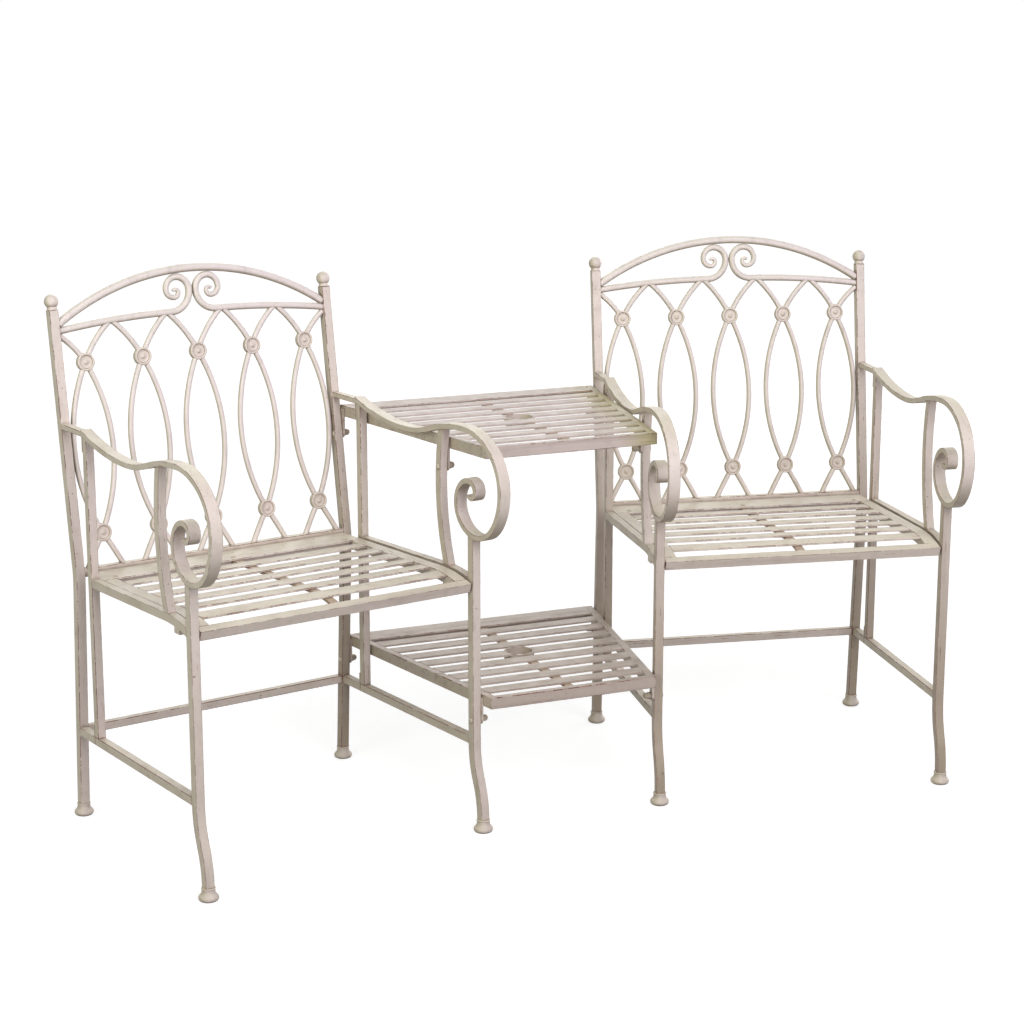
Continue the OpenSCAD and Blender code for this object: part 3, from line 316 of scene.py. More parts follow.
easing = {
    "squareTube": {"width": 0.0013, "steps": 2, "corner": 50, "shortest": 0.0022},
    "flatBar": {"width": 0.0016, "steps": 3, "corner": 50, "shortest": 0.0022},
    "thinPlate": {"width": 0.0007, "steps": 2, "corner": 50, "shortest": 0.0022},
    "ring": {"width": 0.0007, "steps": 2, "corner": 50, "shortest": 0.0005},
}
chairPieces = {
    "back_post_outer": ("squareTube", "creamPaint"), "back_post_inner": ("squareTube", "creamPaint"),
    "back_bottom_rail": ("squareTube", "crossPaint"), "rear_stretcher": ("squareTube", "agedPaint"),
    "arm_outer": ("flatBar", "sidePaint"), "arm_inner": ("flatBar", "sidePaint"),
    "front_leg_outer": ("squareTube", "creamPaint"), "front_leg_inner": ("squareTube", "creamPaint"),
    "rear_uprights": ("squareTube", "creamPaint"), "mid_uprights": ("squareTube", "creamPaint"),
    "seat_frame": ("squareTube", "sidePaint"), "side_stretchers": ("squareTube", "agedSidePaint"),
    "seat_front_rail": ("squareTube", "crossPaint"), "seat_side_tubes": ("squareTube", "sidePaint"),
    "seat_rear_band": ("thinPlate", "slatPaint"), "seat_centre_bar": ("thinPlate", "barePaint"),
}
shadedPieces = ["left_back_post_inner", "right_back_post_outer", "right_back_post_inner", "right_front_leg_outer",
          "right_rear_uprights", "right_front_leg_inner"]  # the pieces that stand in the shade of the set
joiningPieces = {"frame_ties": ("thinPlate", "creamPaint"), "table_tabs": ("thinPlate", "creamPaint"),
                 "centre_bars": ("thinPlate", "barePaint")}
deckPieces = {"rear_rail": "thinPlate", "front_rail": "squareTube", "side_rails": "squareTube", "parasol_ring": "ring"}

easedPieces = {side + "_" + part: kind for side in sides for part, kind in chairPieces.items()}
for node in shadedPieces:
    easedPieces[node] = (easedPieces[node][0], "shadedWornPaint")
easedPieces.update(joiningPieces)
easedPieces.update({deck + "_" + part: (ease, "deckPaint") for part, ease in deckPieces.items()
                    for deck in ("table", "shelf")})
for node, (ease, paint) in easedPieces.items():
    dress(easedCopy(node, easing[ease], node + "_eased"), paint, node)
print("tubes, flats and plates eased")


# geometry node trees
def newTree(name, inputs):
    tree = bpy.data.node_groups.new(name, "GeometryNodeTree")
    tree.interface.new_socket("Geometry", in_out="INPUT", socket_type="NodeSocketGeometry")
    for label, kind, value in inputs:
        socket = tree.interface.new_socket(label, in_out="INPUT", socket_type="NodeSocket" + kind)
        if value is not None:
            socket.default_value = value
    tree.interface.new_socket("Geometry", in_out="OUTPUT", socket_type="NodeSocketGeometry")
    return tree, tree.nodes.new("NodeGroupInput").outputs, tree.nodes.new("NodeGroupOutput").inputs


def attributeNode(tree, name, kind):
    return addNode(tree, "GeometryNodeInputNamedAttribute", {"Name": name}, data_type=kind).outputs["Attribute"]


def treeEnd(tree, geometry, material, out):
    real = addNode(tree, "GeometryNodeRealizeInstances", {"Geometry": geometry}).outputs[0]
    painted = addNode(tree, "GeometryNodeSetMaterial", {"Geometry": real, "Material": material}).outputs[0]
    tree.links.new(painted, out[0])


def runTree(carrier, tree, values, name, edges=None):
    modifier = carrier.modifiers.new(tree.name, "NODES")
    modifier.node_group = tree
    names = {item.name: item.identifier for item in tree.interface.items_tree if item.in_out == "INPUT"}
    for label, value in values.items():
        modifier[names[label]] = value
    if edges:
        bevel = carrier.modifiers.new("easedEdges", "BEVEL")
        bevel.width, bevel.segments = edges["width"], edges["steps"]
        bevel.angle_limit = math.radians(shading["plain"])
        bevel.use_clamp_overlap = True
        carrier.modifiers.new("evenShading", "WEIGHTED_NORMAL")
    return settled(carrier, name)


def pathMesh(name, paths, thickness=lambda share: 1.0):  # open chains of points, and how thick the bar is along them
    verts, edges, shares = [], [], []
    for path in paths:
        edges += [(len(verts) + i, len(verts) + i + 1) for i in range(len(path) - 1)]
        verts += [tuple(p) for p in path]
        shares += [thickness(i / (len(path) - 1)) for i in range(len(path))]
    mesh = bpy.data.meshes.new(name)
    mesh.from_pydata(verts, edges, [])
    mesh.attributes.new("thickness", "FLOAT", "POINT").data.foreach_set("value", shares)
    return mesh


# round bars that follow a path
barTree, given, out = newTree("roundBar", [
    ("Diameter", "Float", 0.008), ("Sides", "Int", 16), ("Material", "Material", None)])
curve = addNode(barTree, "GeometryNodeMeshToCurve", {"Mesh": given["Geometry"]}).outputs[0]
half = mathNode(barTree, "MULTIPLY", given["Diameter"], 0.5)
section = addNode(barTree, "GeometryNodeCurvePrimitiveCircle",
                  {"Resolution": given["Sides"], "Radius": half}).outputs[0]
thickness = attributeNode(barTree, "thickness", "FLOAT")
bar = addNode(barTree, "GeometryNodeCurveToMesh",
              {"Curve": curve, "Profile Curve": section, "Scale": thickness, "Fill Caps": True}).outputs[0]
treeEnd(barTree, bar, given["Material"], out)

# pieces set on points, each facing its own way
pointTree, given, out = newTree("setOnPoints", [
    ("Piece", "Object", None), ("Seed", "Int", 3), ("Twist", "Float", 3.1416), ("Material", "Material", None)])
points = addNode(pointTree, "GeometryNodeMeshToPoints", {"Mesh": given["Geometry"], "Radius": 0.001}).outputs[0]
master = addNode(pointTree, "GeometryNodeObjectInfo", {"Object": given["Piece"]}).outputs["Geometry"]
facing = attributeNode(pointTree, "facing", "FLOAT_VECTOR")
along = attributeNode(pointTree, "along", "FLOAT_VECTOR")
turned = addNode(pointTree, "FunctionNodeAxesToRotation", {0: facing, 1: along}, primary_axis="Z", secondary_axis="X")
least = mathNode(pointTree, "MULTIPLY", given["Twist"], -1.0)
angle = addNode(pointTree, "FunctionNodeRandomValue", {2: least, 3: given["Twist"], "Seed": given["Seed"]},
                data_type="FLOAT").outputs[1]
spin = addNode(pointTree, "FunctionNodeAxisAngleToRotation", {"Axis": (0, 0, 1), "Angle": angle}).outputs[0]
spun = addNode(pointTree, "FunctionNodeRotateRotation", {"Rotation": turned.outputs[0], "Rotate By": spin},
               rotation_space="LOCAL").outputs[0]
seated = addNode(pointTree, "GeometryNodeInstanceOnPoints",
                 {"Points": points, "Instance": master, "Rotation": spun}).outputs[0]
treeEnd(pointTree, seated, given["Material"], out)


def setOnPoints(name, shape, spots, paint, nodes, twist=math.pi):
    mesh = bpy.data.meshes.new(name + "Points")
    mesh.from_pydata([tuple(spot[0]) for spot in spots], [], [])
    for label, index in (("facing", 1), ("along", 2)):
        data = mesh.attributes.new(label, "FLOAT_VECTOR", "POINT").data
        for item, spot in zip(data, spots):
            item.vector = spot[index] if len(spot) > index else spot[1].orthogonal().normalized()
    carrier = linkObject(name + "Points", mesh)
    values = {"Piece": shape, "Twist": twist, "Material": paints[paint]}
    piece = runTree(carrier, pointTree, values, name)
    bpy.data.objects.remove(shape)
    return dress(piece, None, *nodes)


def lathe(name, profile, steps):  # a profile of (radius, height), turned about Z, closed at both poles
    work = bmesh.new()
    turns = [2 * math.pi * k / steps for k in range(steps)]
    rings = []
    for radius, height in profile:
        ends = [(0, 0)] if radius < 1e-7 else [(radius * math.cos(a), radius * math.sin(a)) for a in turns]
        rings.append([work.verts.new((x, y, height)) for x, y in ends])
    for low, high in zip(rings, rings[1:]):
        for k in range(steps):
            corners = [low[k % len(low)], low[(k + 1) % len(low)], high[(k + 1) % len(high)], high[k % len(high)]]
            work.faces.new(list(dict.fromkeys(corners)))
    bmesh.ops.recalc_face_normals(work, faces=work.faces)
    return linkObject(name, keptMesh(work, name, shading["turned"]))


def bow(radius, centre, start, end, steps):  # profile points on an arc, angles in degrees
    turns = [math.radians(start + (end - start) * k / steps) for k in range(steps + 1)]
    return [(centre[0] + radius * math.cos(a), centre[1] + radius * math.sin(a)) for a in turns]


# backs: arch, scroll rails and the bars of the ovals
backRail = {"ovalH": 0.288, "railV": 0.358, "railR": 1.5, "flatX": 0.04215, "trim": 0.252, "points": 24,
            "diameter": 0.012, "sides": 20, "taperFrom": 0.40, "tail": 0.48, "stepAngle": 7}
scrollTurns = [(0.036, 90), (0.02306, 90), (0.0205, 90), (0.0145, 90), (0.0085, 90), (0.0052, 150)]  # radius, sweep
archLook = {"topV": 0.431, "rise": 0.082, "half": 0.26, "trim": 0.252, "points": 72, "diameter": 0.014, "sides": 24}
ovals = {"pitch": 0.105, "count": 5, "halfW": 0.0355, "upperBow": 0.0045, "lowerBow": 0.001, "reach": 0.036,
         "lowV": -0.065, "gap": 0.0012, "diameter": 0.0095, "sides": 18, "trim": 0.252, "inside": 0.0134,
         "points": (12, 60, 16)}


def arcBetween(p, q, rise, steps):  # points from p to q, bowed to the left of the run by rise
    p, q = Vector(p), Vector(q)
    chord, middle = q - p, (p + q) / 2
    left = Vector((-chord.y, chord.x)).normalized() * math.copysign(1, rise)
    radius = (chord.length ** 2 / 4 + rise * rise) / (2 * abs(rise))
    centre = middle - left * (radius - abs(rise))
    half = math.asin(min(1, chord.length / 2 / radius))
    return [centre + (left * math.cos(a) + chord.normalized() * math.sin(a)) * radius
            for a in [half * (2 * k / steps - 1) for k in range(steps + 1)]]


def walkTurns(start, heading, turns, stepAngle):  # points along a chain of left-hand arcs
    points, h = [Vector(start)], math.radians(heading)
    for radius, sweep in turns:
        p, steps = points[-1].copy(), max(2, round(abs(sweep) / stepAngle))
        for k in range(1, steps + 1):
            a = h + math.radians(sweep) * k / steps
            points.append(p + radius * Vector((math.sin(a) - math.sin(h), math.cos(h) - math.cos(a))))
        h += math.radians(sweep)
    return points


def railFall(x):  # how far a scroll rail has dropped at a distance from the middle
    over = max(0.0, abs(x) - backRail["flatX"])
    return backRail["railR"] - math.sqrt(backRail["railR"] ** 2 - over ** 2)


def scrollRail(mirrored):
    flat, trim, count = -backRail["flatX"], backRail["trim"], backRail["points"]
    across = [-trim + k * (trim + flat) / count for k in range(count)]
    toPost = [Vector((x, backRail["railV"] - railFall(x))) for x in across]
    path = toPost + walkTurns((flat, backRail["railV"]), 0, scrollTurns, backRail["stepAngle"])
    return [Vector((-p.x, p.y)) for p in path] if mirrored else path


def trimmed(path, room):  # the part of a path where a measure is positive, with exact ends
    kept = []
    for a, b in zip(path, path[1:] + path[-1:]):
        if room(a) > 0:
            kept.append(a)
        if room(a) * room(b) < 0:
            kept.append(a.lerp(b, room(a) / (room(a) - room(b))))
    return kept


def railThickness(share):  # full along the rail, drawn out towards the eye of the scroll
    over = max(0.0, share - backRail["taperFrom"]) / (1 - backRail["taperFrom"])
    return 1.0 - (1 - backRail["tail"]) * over


def ovalStrands(x, side):  # one bar in three runs, each ending inside a rosette: foot, bow and top
    low = (x - side * ovals["reach"], ovals["lowV"])
    endX = x - side * (ovals["pitch"] / 2 - ovals["gap"])
    high = (endX, backRail["railV"] - railFall(endX))
    middles = [Vector((x, 0)), Vector((x, backRail["ovalH"]))]
    foot, belly, top = ovals["points"]
    runs = [arcBetween(low, middles[0], side * ovals["lowerBow"], foot),
            arcBetween(middles[0], middles[1], -side * ovals["halfW"], belly),
            arcBetween(middles[1], high, -side * ovals["upperBow"], top)]

    def room(p):
        return min([ovals["trim"] - abs(p.x)] + [(p - m).length - ovals["inside"] for m in middles])

    return [trimmed(run, room) for run in runs]


def archPath():
    low = archLook["topV"] - archLook["rise"]
    arch = arcBetween((-archLook["half"], low), (archLook["half"], low), archLook["rise"], archLook["points"])
    return trimmed(arch, lambda p: archLook["trim"] - abs(p.x))


def bentBars(name, paths, sign, look, node, thickness=lambda share: 1.0):  # paths in the plane of a chair's back
    place = backPlace(sign)
    inPlace = [[place @ Vector((p.x, p.y, 0)) for p in path] for path in paths]
    carrier = linkObject(name + "Paths", pathMesh(name + "Paths", inPlace, thickness))
    values = {"Diameter": look["diameter"], "Sides": look["sides"], "Material": paints["litBackPaint"]}
    return dress(runTree(carrier, barTree, values, name), None, node)


for side, sign in sides.items():
    strands = [run for k in range(ovals["count"]) for s in (-1, 1)
               for run in ovalStrands((k - 2) * ovals["pitch"], s)]
    bentBars(side + "OvalBars", strands, sign, ovals, side + "_back_lattice")
    bentBars(side + "ScrollRails", [scrollRail(mirrored) for mirrored in (False, True)], sign, backRail,
             side + "_scroll_rails", railThickness)
    bentBars(side + "Arch", [archPath()], sign, archLook, side + "_back_arch")
print("backs bent")

# rosettes, finials and feet
rosetteLook = {"radius": 0.0155, "half": 0.0045, "rim": 0.0021, "depth": 0.0018, "bossH": 0.0026, "domeR": 0.0048,
               "domeDown": 0.0022, "dish": [(0.0049, 0.0), (0.0066, -0.0003), (0.0088, 0.0001), (0.0104, 0.0008)],
               "steps": 40}


def rosetteProfile():  # a domed boss in a shallow dish with a round rim, the same on both faces
    r = rosetteLook
    floorZ = r["half"] - r["depth"]
    face = [(0.0, floorZ + r["bossH"])] + bow(r["domeR"], (0.0, floorZ - r["domeDown"]), 76, 32, 5)
    face += [(radius, floorZ + rise) for radius, rise in r["dish"]]
    face += bow(r["rim"], (r["radius"] - r["rim"], r["half"] - r["rim"] / 2), 195, -12, 10)
    return face + [(radius, -height) for radius, height in reversed(face)]


rosetteSpots = [placed(backPlace(sign), (x * ovals["pitch"], v, 0), (0, 0, 1))
                for sign in sides.values() for x in range(-2, 3) for v in (0, backRail["ovalH"])]
rosetteShape = lathe("rosetteShape", rosetteProfile(), rosetteLook["steps"])
setOnPoints("rosettesCast", rosetteShape, rosetteSpots, "castPaint", ["rosettes"])

finialLook = {"postTop": 0.873, "collarR": 0.0088, "lip": 0.0007, "lipZ": 0.0008, "collarTop": 0.0018,
              "neck": (0.0082, 0.0030), "ballR": 0.0120, "ballUp": 0.0145, "steps": 36}


def finialProfile():
    f = finialLook
    profile = [(0.0, 0.0), (f["collarR"], 0.0)] + bow(f["lip"], (f["collarR"], f["lipZ"]), -80, 80, 4)
    profile += [(f["collarR"], f["collarTop"]), f["neck"]] + bow(f["ballR"], (0.0, f["ballUp"]), -48, 90, 16)[:-1]
    return profile + [(0.0, f["ballUp"] + f["ballR"])]


up = (0, math.sin(backLean["recline"]), math.cos(backLean["recline"]))
finialSpots = [placed(chairPlace(sign), (x * seating["postX"], postY(finialLook["postTop"]), finialLook["postTop"]), up)
               for sign in sides.values() for x in (-1, 1)]
finialShape = lathe("finialShape", finialProfile(), finialLook["steps"])
setOnPoints("finialsTurned", finialShape, finialSpots, "castPaint", ["finials"])

footLook = {"soleR": 0.0108, "roundR": 0.0055, "throatR": 0.0099, "throatAt": (0.0209, 0.0173), "neckR": 0.011,
            "lipR": 0.0117, "lip": (0.0198, 0.0204, 0.0215), "top": 0.0221, "postZ": 0.022, "steps": 36,
            "legX": 0.2605, "legY": -0.464}


def footProfile():
    f = footLook
    profile = [(0.0, 0.0), (f["soleR"], 0.0)] + bow(f["roundR"], (f["neckR"], f["roundR"]), -88, 50, 9)
    profile += bow(f["throatR"], f["throatAt"], 230, 180, 7)[1:] + [(f["neckR"], f["lip"][0])]
    return profile + [(f["lipR"], f["lip"][1]), (f["lipR"], f["lip"][2]), (f["neckR"], f["top"]), (0.0, f["top"])]


footSpots = []
for sign in sides.values():
    for x in (-1, 1):
        for spot in ((x * seating["postX"], postY(footLook["postZ"]), 0), (x * footLook["legX"], footLook["legY"], 0)):
            footSpots.append(placed(chairPlace(sign), spot, (0, 0, 1)))
setOnPoints("feetCast", lathe("footShape", footProfile(), footLook["steps"]), footSpots, "castPaint", ["feet"])
print("rosettes, finials and feet cast")

# slats
slatTree, given, out = newTree("taperedSlats", [
    ("Count", "Int", 8), ("Pitch", "Float", 0.05), ("Width", "Float", 0.028), ("Thickness", "Float", 0.003),
    ("First Place", "Vector", (0, 0, 0)), ("Half Length", "Float", 0.2), ("Taper", "Float", 0.0),
    ("Hole Radius", "Float", 0.0), ("Hole Depth", "Float", 0.0), ("Material", "Material", None)])
boxSize = addNode(slatTree, "ShaderNodeCombineXYZ", {0: 2.0, 1: given["Width"], 2: given["Thickness"]}).outputs[0]
slat = addNode(slatTree, "GeometryNodeMeshCube", {"Size": boxSize}).outputs["Mesh"]
stepBack = mathNode(slatTree, "MULTIPLY", given["Pitch"], -1.0)
stepBack = addNode(slatTree, "ShaderNodeCombineXYZ", {1: stepBack}).outputs[0]
row = addNode(slatTree, "GeometryNodeMeshLine",
              {"Count": given["Count"], "Start Location": given["First Place"], "Offset": stepBack}).outputs[0]
laid = addNode(slatTree, "GeometryNodeInstanceOnPoints", {"Points": row, "Instance": slat}).outputs[0]
laid = addNode(slatTree, "GeometryNodeRealizeInstances", {"Geometry": laid}).outputs[0]
spot = addNode(slatTree, "GeometryNodeInputPosition").outputs[0]
spot = addNode(slatTree, "ShaderNodeSeparateXYZ", {0: spot}).outputs
reach = mathNode(slatTree, "ADD", mathNode(slatTree, "MULTIPLY", spot[1], given["Taper"]), given["Half Length"])
wide = mathNode(slatTree, "MULTIPLY", spot[0], reach)
wide = addNode(slatTree, "ShaderNodeCombineXYZ", {0: wide, 1: spot[1], 2: spot[2]}).outputs[0]
laid = addNode(slatTree, "GeometryNodeSetPosition", {"Geometry": laid, "Position": wide}).outputs[0]
drum = addNode(slatTree, "GeometryNodeMeshCylinder",
               {"Vertices": 64, "Radius": given["Hole Radius"], "Depth": 0.1}).outputs["Mesh"]
top = addNode(slatTree, "ShaderNodeSeparateXYZ", {0: given["First Place"]}).outputs[2]
hole = addNode(slatTree, "ShaderNodeCombineXYZ", {1: given["Hole Depth"], 2: top}).outputs[0]
drum = addNode(slatTree, "GeometryNodeTransform", {"Geometry": drum, "Translation": hole}).outputs[0]
cut = addNode(slatTree, "GeometryNodeMeshBoolean", {"Mesh 1": laid, "Mesh 2": drum}, operation="DIFFERENCE").outputs[0]
treeEnd(slatTree, cut, given["Material"], out)

slatEdge = {"width": 0.0007, "steps": 2}
deckLook = {"depth": 0.458, "rail": 0.014, "band": 0.036, "slatW": 0.028, "slatT": 0.003, "count": 8,
            "railInner": 0.2863, "ringR": 0.027, "ringY": -0.17,
            "decks": {"table": (0.662, 0.064), "shelf": (0.236, 0.050)}}  # height of the top, place of the rear edge
deckRoom = deckLook["depth"] - 2 * deckLook["rail"] - deckLook["band"]
deckGap = (deckRoom - deckLook["count"] * deckLook["slatW"]) / (deckLook["count"] + 1)
taper = math.tan(seating["toeIn"])
middle = seating["offset"] - deckLook["railInner"] / math.cos(seating["toeIn"]) - taper * seating["depthShift"]
for deck, (topZ, rearY) in deckLook["decks"].items():
    firstY = rearY - deckLook["rail"] - deckLook["band"] - deckGap - deckLook["slatW"] / 2 + seating["depthShift"]
    values = {"Count": deckLook["count"], "Pitch": deckLook["slatW"] + deckGap, "Width": deckLook["slatW"],
              "Thickness": deckLook["slatT"], "First Place": (0, firstY, topZ - deckLook["slatT"] / 2),
              "Half Length": middle, "Taper": taper, "Hole Radius": deckLook["ringR"],
              "Hole Depth": deckLook["ringY"] + seating["depthShift"], "Material": paints["deckPaint"]}
    carrier = linkObject(deck + "SlatRow", bpy.data.meshes.new(deck + "SlatRow"))
    dress(runTree(carrier, slatTree, values, deck + "Slats", slatEdge), None, deck + "_slats")

seatLook = {"z": 0.4365, "rearY": 0.03046, "slope": math.radians(1.5), "bendY": 0.355, "curveR": 0.275,
            "front": 0.4305, "pitch": 0.051, "count": 6, "slatW": 0.028, "slatT": 0.003, "half": 0.2275}


def seatTop(y):  # height and forward slope of the seat at a distance in front of the rear feet
    slope = seatLook["slope"]
    if y > seatLook["bendY"]:
        slope = math.asin(math.sin(slope) - (y - seatLook["bendY"]) / seatLook["curveR"])
    height = seatLook["z"] + (min(y, seatLook["bendY"]) - seatLook["rearY"]) * math.tan(seatLook["slope"])
    return height + seatLook["curveR"] * (math.cos(slope) - math.cos(seatLook["slope"])), slope


def onSeat(sign, x, y):  # a place on a seat's top and the way it faces
    height, slope = seatTop(y)
    return placed(chairPlace(sign), (x, -y, height), (0, math.sin(slope), math.cos(slope)))


def slatShape():
    work = bmesh.new()
    bmesh.ops.create_cube(work, size=1)
    for v in work.verts:
        v.co = (v.co.x * 2 * seatLook["half"], v.co.y * seatLook["slatW"], (v.co.z - 0.5) * seatLook["slatT"])
    easeEdges(work, lambda e: True, slatEdge["width"], slatEdge["steps"])
    return linkObject("slatShape", keptMesh(work, "slatShape", shading["plain"]))


for side, sign in sides.items():
    along = (chairPlace(sign).to_3x3() @ Vector((1, 0, 0))).normalized()
    spots = [onSeat(sign, 0, seatLook["front"] - (k + 1) * seatLook["pitch"] + seatLook["slatW"] / 2) + (along,)
             for k in range(seatLook["count"])]
    setOnPoints(side + "SeatSlats", slatShape(), spots, "slatPaint", [side + "_seat_slats"], 0.0)
print("slats laid")

# screws, bolts and cap nuts
headLook = {"radius": 0.0045, "height": 0.0026, "lip": 0.0003, "steps": 28,
            "seatShank": (0.0024, 0.006), "tieShank": (0.0019, 0.0065)}
boltLook = {"radius": 0.006, "height": 0.003, "shank": (0.003, 0.0215), "steps": 32}
nutLook = {"flangeR": 0.0066, "flange": [(0.0068, 0.0004), (0.0064, 0.0011)], "neckR": 0.0055, "neck": (0.0012, 0.0072),
           "domeR": 0.00585, "domeUp": 0.0080, "top": 0.01385, "steps": 30,
           "hexR": 0.0064, "hexH": 0.0058, "hexUp": 0.0040, "hexEdge": 0.0004}
fixings = {"bandX": (-0.2215, 0, 0.2215), "bandY": 0.084, "lugX": (-0.239, 0.239), "lugY": 0.4, "lugDrop": 0.021,
           "tieX": (-0.261, 0.261), "tieY": -0.0735, "tieZ": (0.6625, 0.174), "nutOut": 0.0043,
           "tabs": [(postY(0.612), 0.612, 0.016), (-0.34137, 0.612, 0.014),  # depth, height, width of the tube
                    (postY(0.192), 0.192, 0.016), (-0.439, 0.192, 0.015)]}


def headProfile(radius, height, shank):  # a low round head on a shank of a given radius and length
    ball = (radius * radius + height * height) / (2 * height)
    rise = math.degrees(math.asin(radius / ball))
    cap = bow(ball, (0.0, height - ball), 90 - rise + 4, 90, 7)[:-1]
    stem = [(0.0, -shank[1]), (shank[0], -shank[1]), (shank[0], 0.0)]
    return stem + [(radius, 0.0), (radius, headLook["lip"])] + cap + [(0.0, height)]


def capNutShape():  # a six-sided collar under a dome, with a small flange
    n = nutLook
    profile = [(0.0, 0.0), (n["flangeR"], 0.0)] + n["flange"] + [(n["neckR"], z) for z in n["neck"]]
    profile += bow(n["domeR"], (0.0, n["domeUp"]), 20, 90, 8)[:-1] + [(0.0, n["top"])]
    dome = lathe("capNutShape", profile, n["steps"])
    work = bmesh.new()
    work.from_mesh(dome.data)
    ring = bmesh.ops.create_cone(work, cap_ends=True, segments=6, radius1=n["hexR"], radius2=n["hexR"],
                                 depth=n["hexH"], matrix=Matrix.Translation((0, 0, n["hexUp"])))
    edges = {e for v in ring["verts"] for e in v.link_edges}
    bmesh.ops.bevel(work, geom=list(edges), offset=n["hexEdge"], segments=2, profile=0.5, affect="EDGES")
    work.to_mesh(dome.data)
    work.free()
    smoothFaces(dome.data, shading["turned"])
    return dome


seatScrews, tieScrews, boltSpots, nutSpots = [], [], [], []
for sign in sides.values():
    place = chairPlace(sign)
    lugZ = seatTop(fixings["lugY"])[0] - fixings["lugDrop"]
    seatScrews += [onSeat(sign, x, fixings["bandY"]) for x in fixings["bandX"]]
    seatScrews += [placed(place, (x, -fixings["lugY"], lugZ), (0, 0, -1)) for x in fixings["lugX"]]
    tieScrews += [placed(place, (x, fixings["tieY"], z), (0, 1, 0)) for x in fixings["tieX"] for z in fixings["tieZ"]]
    for y, z, width in fixings["tabs"]:
        boltSpots.append(placed(place, (seating["faceX"] - width, y, z), (-1, 0, 0)))
        nutSpots.append(placed(place, (seating["faceX"] + fixings["nutOut"], y, z), (1, 0, 0)))
for kind, spots in (("seat", seatScrews), ("tie", tieScrews)):
    profile = headProfile(headLook["radius"], headLook["height"], headLook[kind + "Shank"])
    shape = lathe(kind + "ScrewShape", profile, headLook["steps"])
    setOnPoints(kind + "ScrewHeads", shape, spots, "hardwarePaint", [kind + "_screws"])
boltProfile = headProfile(boltLook["radius"], boltLook["height"], boltLook["shank"])
setOnPoints("boltHeads", lathe("boltShape", boltProfile, boltLook["steps"]), boltSpots, "creamPaint", ["table_bolts"])
setOnPoints("capNutsCast", capNutShape(), nutSpots, "hardwarePaint", ["cap_nuts"])
print("screws, bolts and nuts set")

# floor, light and camera
studio = {"floorSize": 30.0, "floorTone": 0.40, "glow": (0.76, 0.95), "glowFrom": (1.5, 8.0), "ambient": 0.14}
lamps = {
    "keyLamp": {"place": (-0.6, -2.4, 3.7), "aim": (0, 0, 0.5), "size": 2.0, "power": 45.0,
                "colour": (1.0, 0.99, 0.98)},
    "frontLamp": {"place": (0.5, -4.1, 2.5), "aim": (-0.1, 0, 0.6), "size": 2.4, "power": 82.0},
    "fillLamp": {"place": (-3.8, -1.9, 1.7), "aim": (-0.5, 0, 0.35), "size": 2.2, "power": 66.0},
    "backLamp": {"place": (1.2, 4.2, 3.5), "aim": (0, 0, 0.5), "size": 3.4, "power": 84.0},
    "sideLamp": {"place": (4.2, 1.4, 1.9), "aim": (0, 0, 0.5), "size": 2.6, "power": 75.0},
}
view = {"lens": 81.28, "sensor": 36.0, "near": 0.05, "far": 100.0,
        "place": (-1.585, -3.8127, 1.4275), "tilt": 0.2316, "turn": -0.4072}


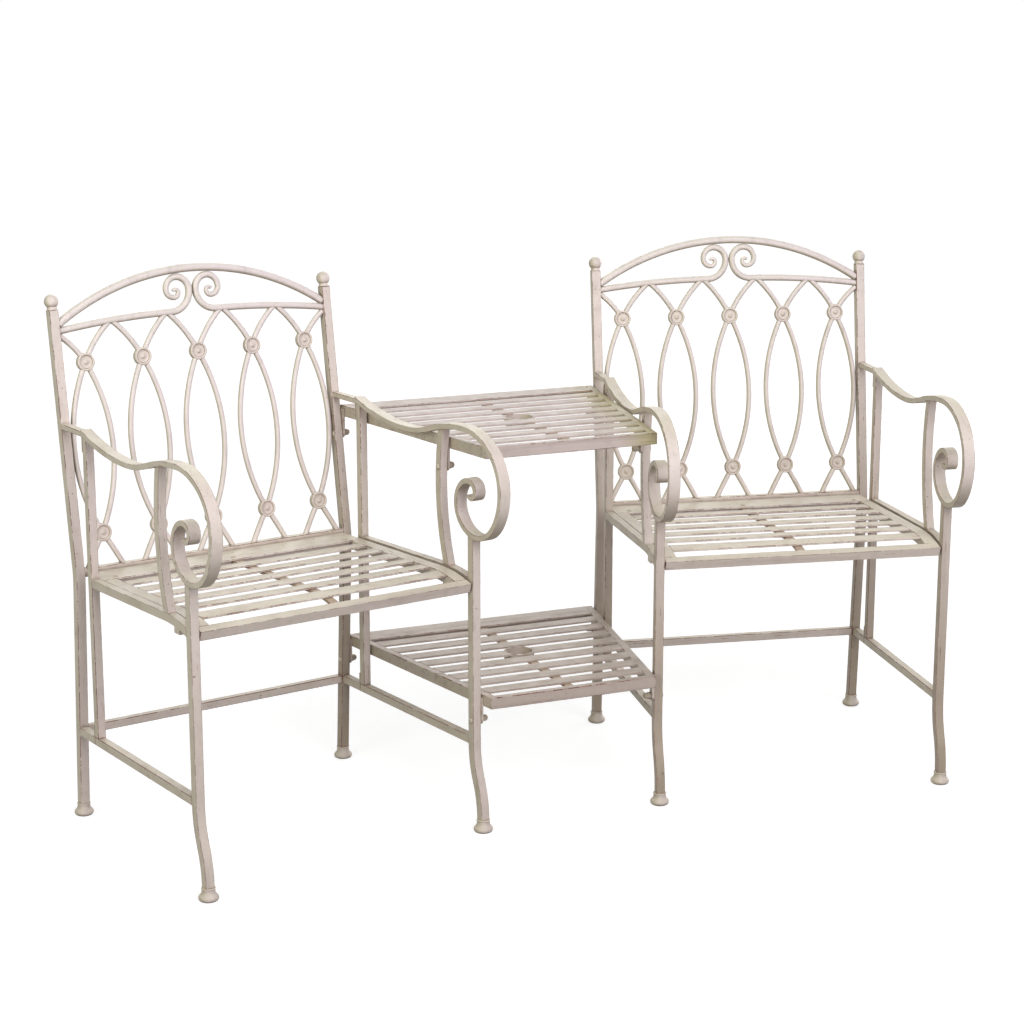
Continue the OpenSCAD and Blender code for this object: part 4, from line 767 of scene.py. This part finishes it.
def stageMaterial(name, shade):  # a pale floor that is as white as the background, apart from the shadow
    material, tree = emptyMaterial(name)
    path = addNode(tree, "ShaderNodeLightPath").outputs
    seen = mathNode(tree, "ADD", path["Is Camera Ray"], path["Is Glossy Ray"], True)
    away = addNode(tree, "ShaderNodeTexCoord").outputs["Object"]
    away = addNode(tree, "ShaderNodeVectorMath", {0: away}, operation="LENGTH").outputs["Value"]
    glow = mathNode(tree, "MULTIPLY", seen, rangeNode(tree, away, *studio["glowFrom"], *studio["glow"]))
    matt = addNode(tree, "ShaderNodeBsdfDiffuse", {"Color": (shade, shade, shade, 1), "Roughness": 0.5}).outputs[0]
    light = addNode(tree, "ShaderNodeEmission", {"Color": (1, 1, 1, 1), "Strength": glow}).outputs[0]
    both = addNode(tree, "ShaderNodeAddShader", {0: matt, 1: light}).outputs[0]
    addNode(tree, "ShaderNodeOutputMaterial", {"Surface": both})
    return material


floorMesh = bpy.data.meshes.new("studioFloor")
s = studio["floorSize"]
floorMesh.from_pydata([(-s, -s, 0), (s, -s, 0), (s, s, 0), (-s, s, 0)], [], [(0, 1, 2, 3)])
floor = linkObject("studioFloor", floorMesh)
floorMesh.materials.append(stageMaterial("paleFloor", studio["floorTone"]))

world = bpy.data.worlds.new("paleRoom")  # white to the eye, dim to the object
scene.world = world
world.use_nodes = True
tree = world.node_tree
tree.nodes.clear()
path = addNode(tree, "ShaderNodeLightPath").outputs
seen = mathNode(tree, "ADD", path["Is Camera Ray"], path["Is Glossy Ray"])
seen = mathNode(tree, "ADD", seen, path["Is Transmission Ray"], True)
level = mathNode(tree, "ADD", mathNode(tree, "MULTIPLY", seen, 1.0 - studio["ambient"]), studio["ambient"])
sky = addNode(tree, "ShaderNodeBackground", {"Color": (1, 1, 1, 1), "Strength": level}).outputs[0]
addNode(tree, "ShaderNodeOutputWorld", {"Surface": sky})


def softLamp(name, place, aim, size, power, colour=(1, 1, 1)):
    lamp = bpy.data.lights.new(name, "AREA")
    lamp.energy, lamp.size, lamp.color = power, size, colour
    holder = bpy.data.objects.new(name, lamp)
    scene.collection.objects.link(holder)
    holder.location = place
    holder.rotation_euler = (Vector(aim) - Vector(place)).to_track_quat("-Z", "Y").to_euler()


for name, lamp in lamps.items():
    softLamp(name, **lamp)

lens = bpy.data.cameras.new("photoCamera")
lens.lens, lens.sensor_width = view["lens"], view["sensor"]
lens.clip_start, lens.clip_end = view["near"], view["far"]
camera = bpy.data.objects.new("photoCamera", lens)
scene.collection.objects.link(camera)
camera.location = (view["place"][0], view["place"][1] + seating["depthShift"], view["place"][2])
camera.rotation_euler = (math.pi / 2 - view["tilt"], 0.0, view["turn"])
scene.camera = camera
print("studio set")

bpy.context.view_layer.update()
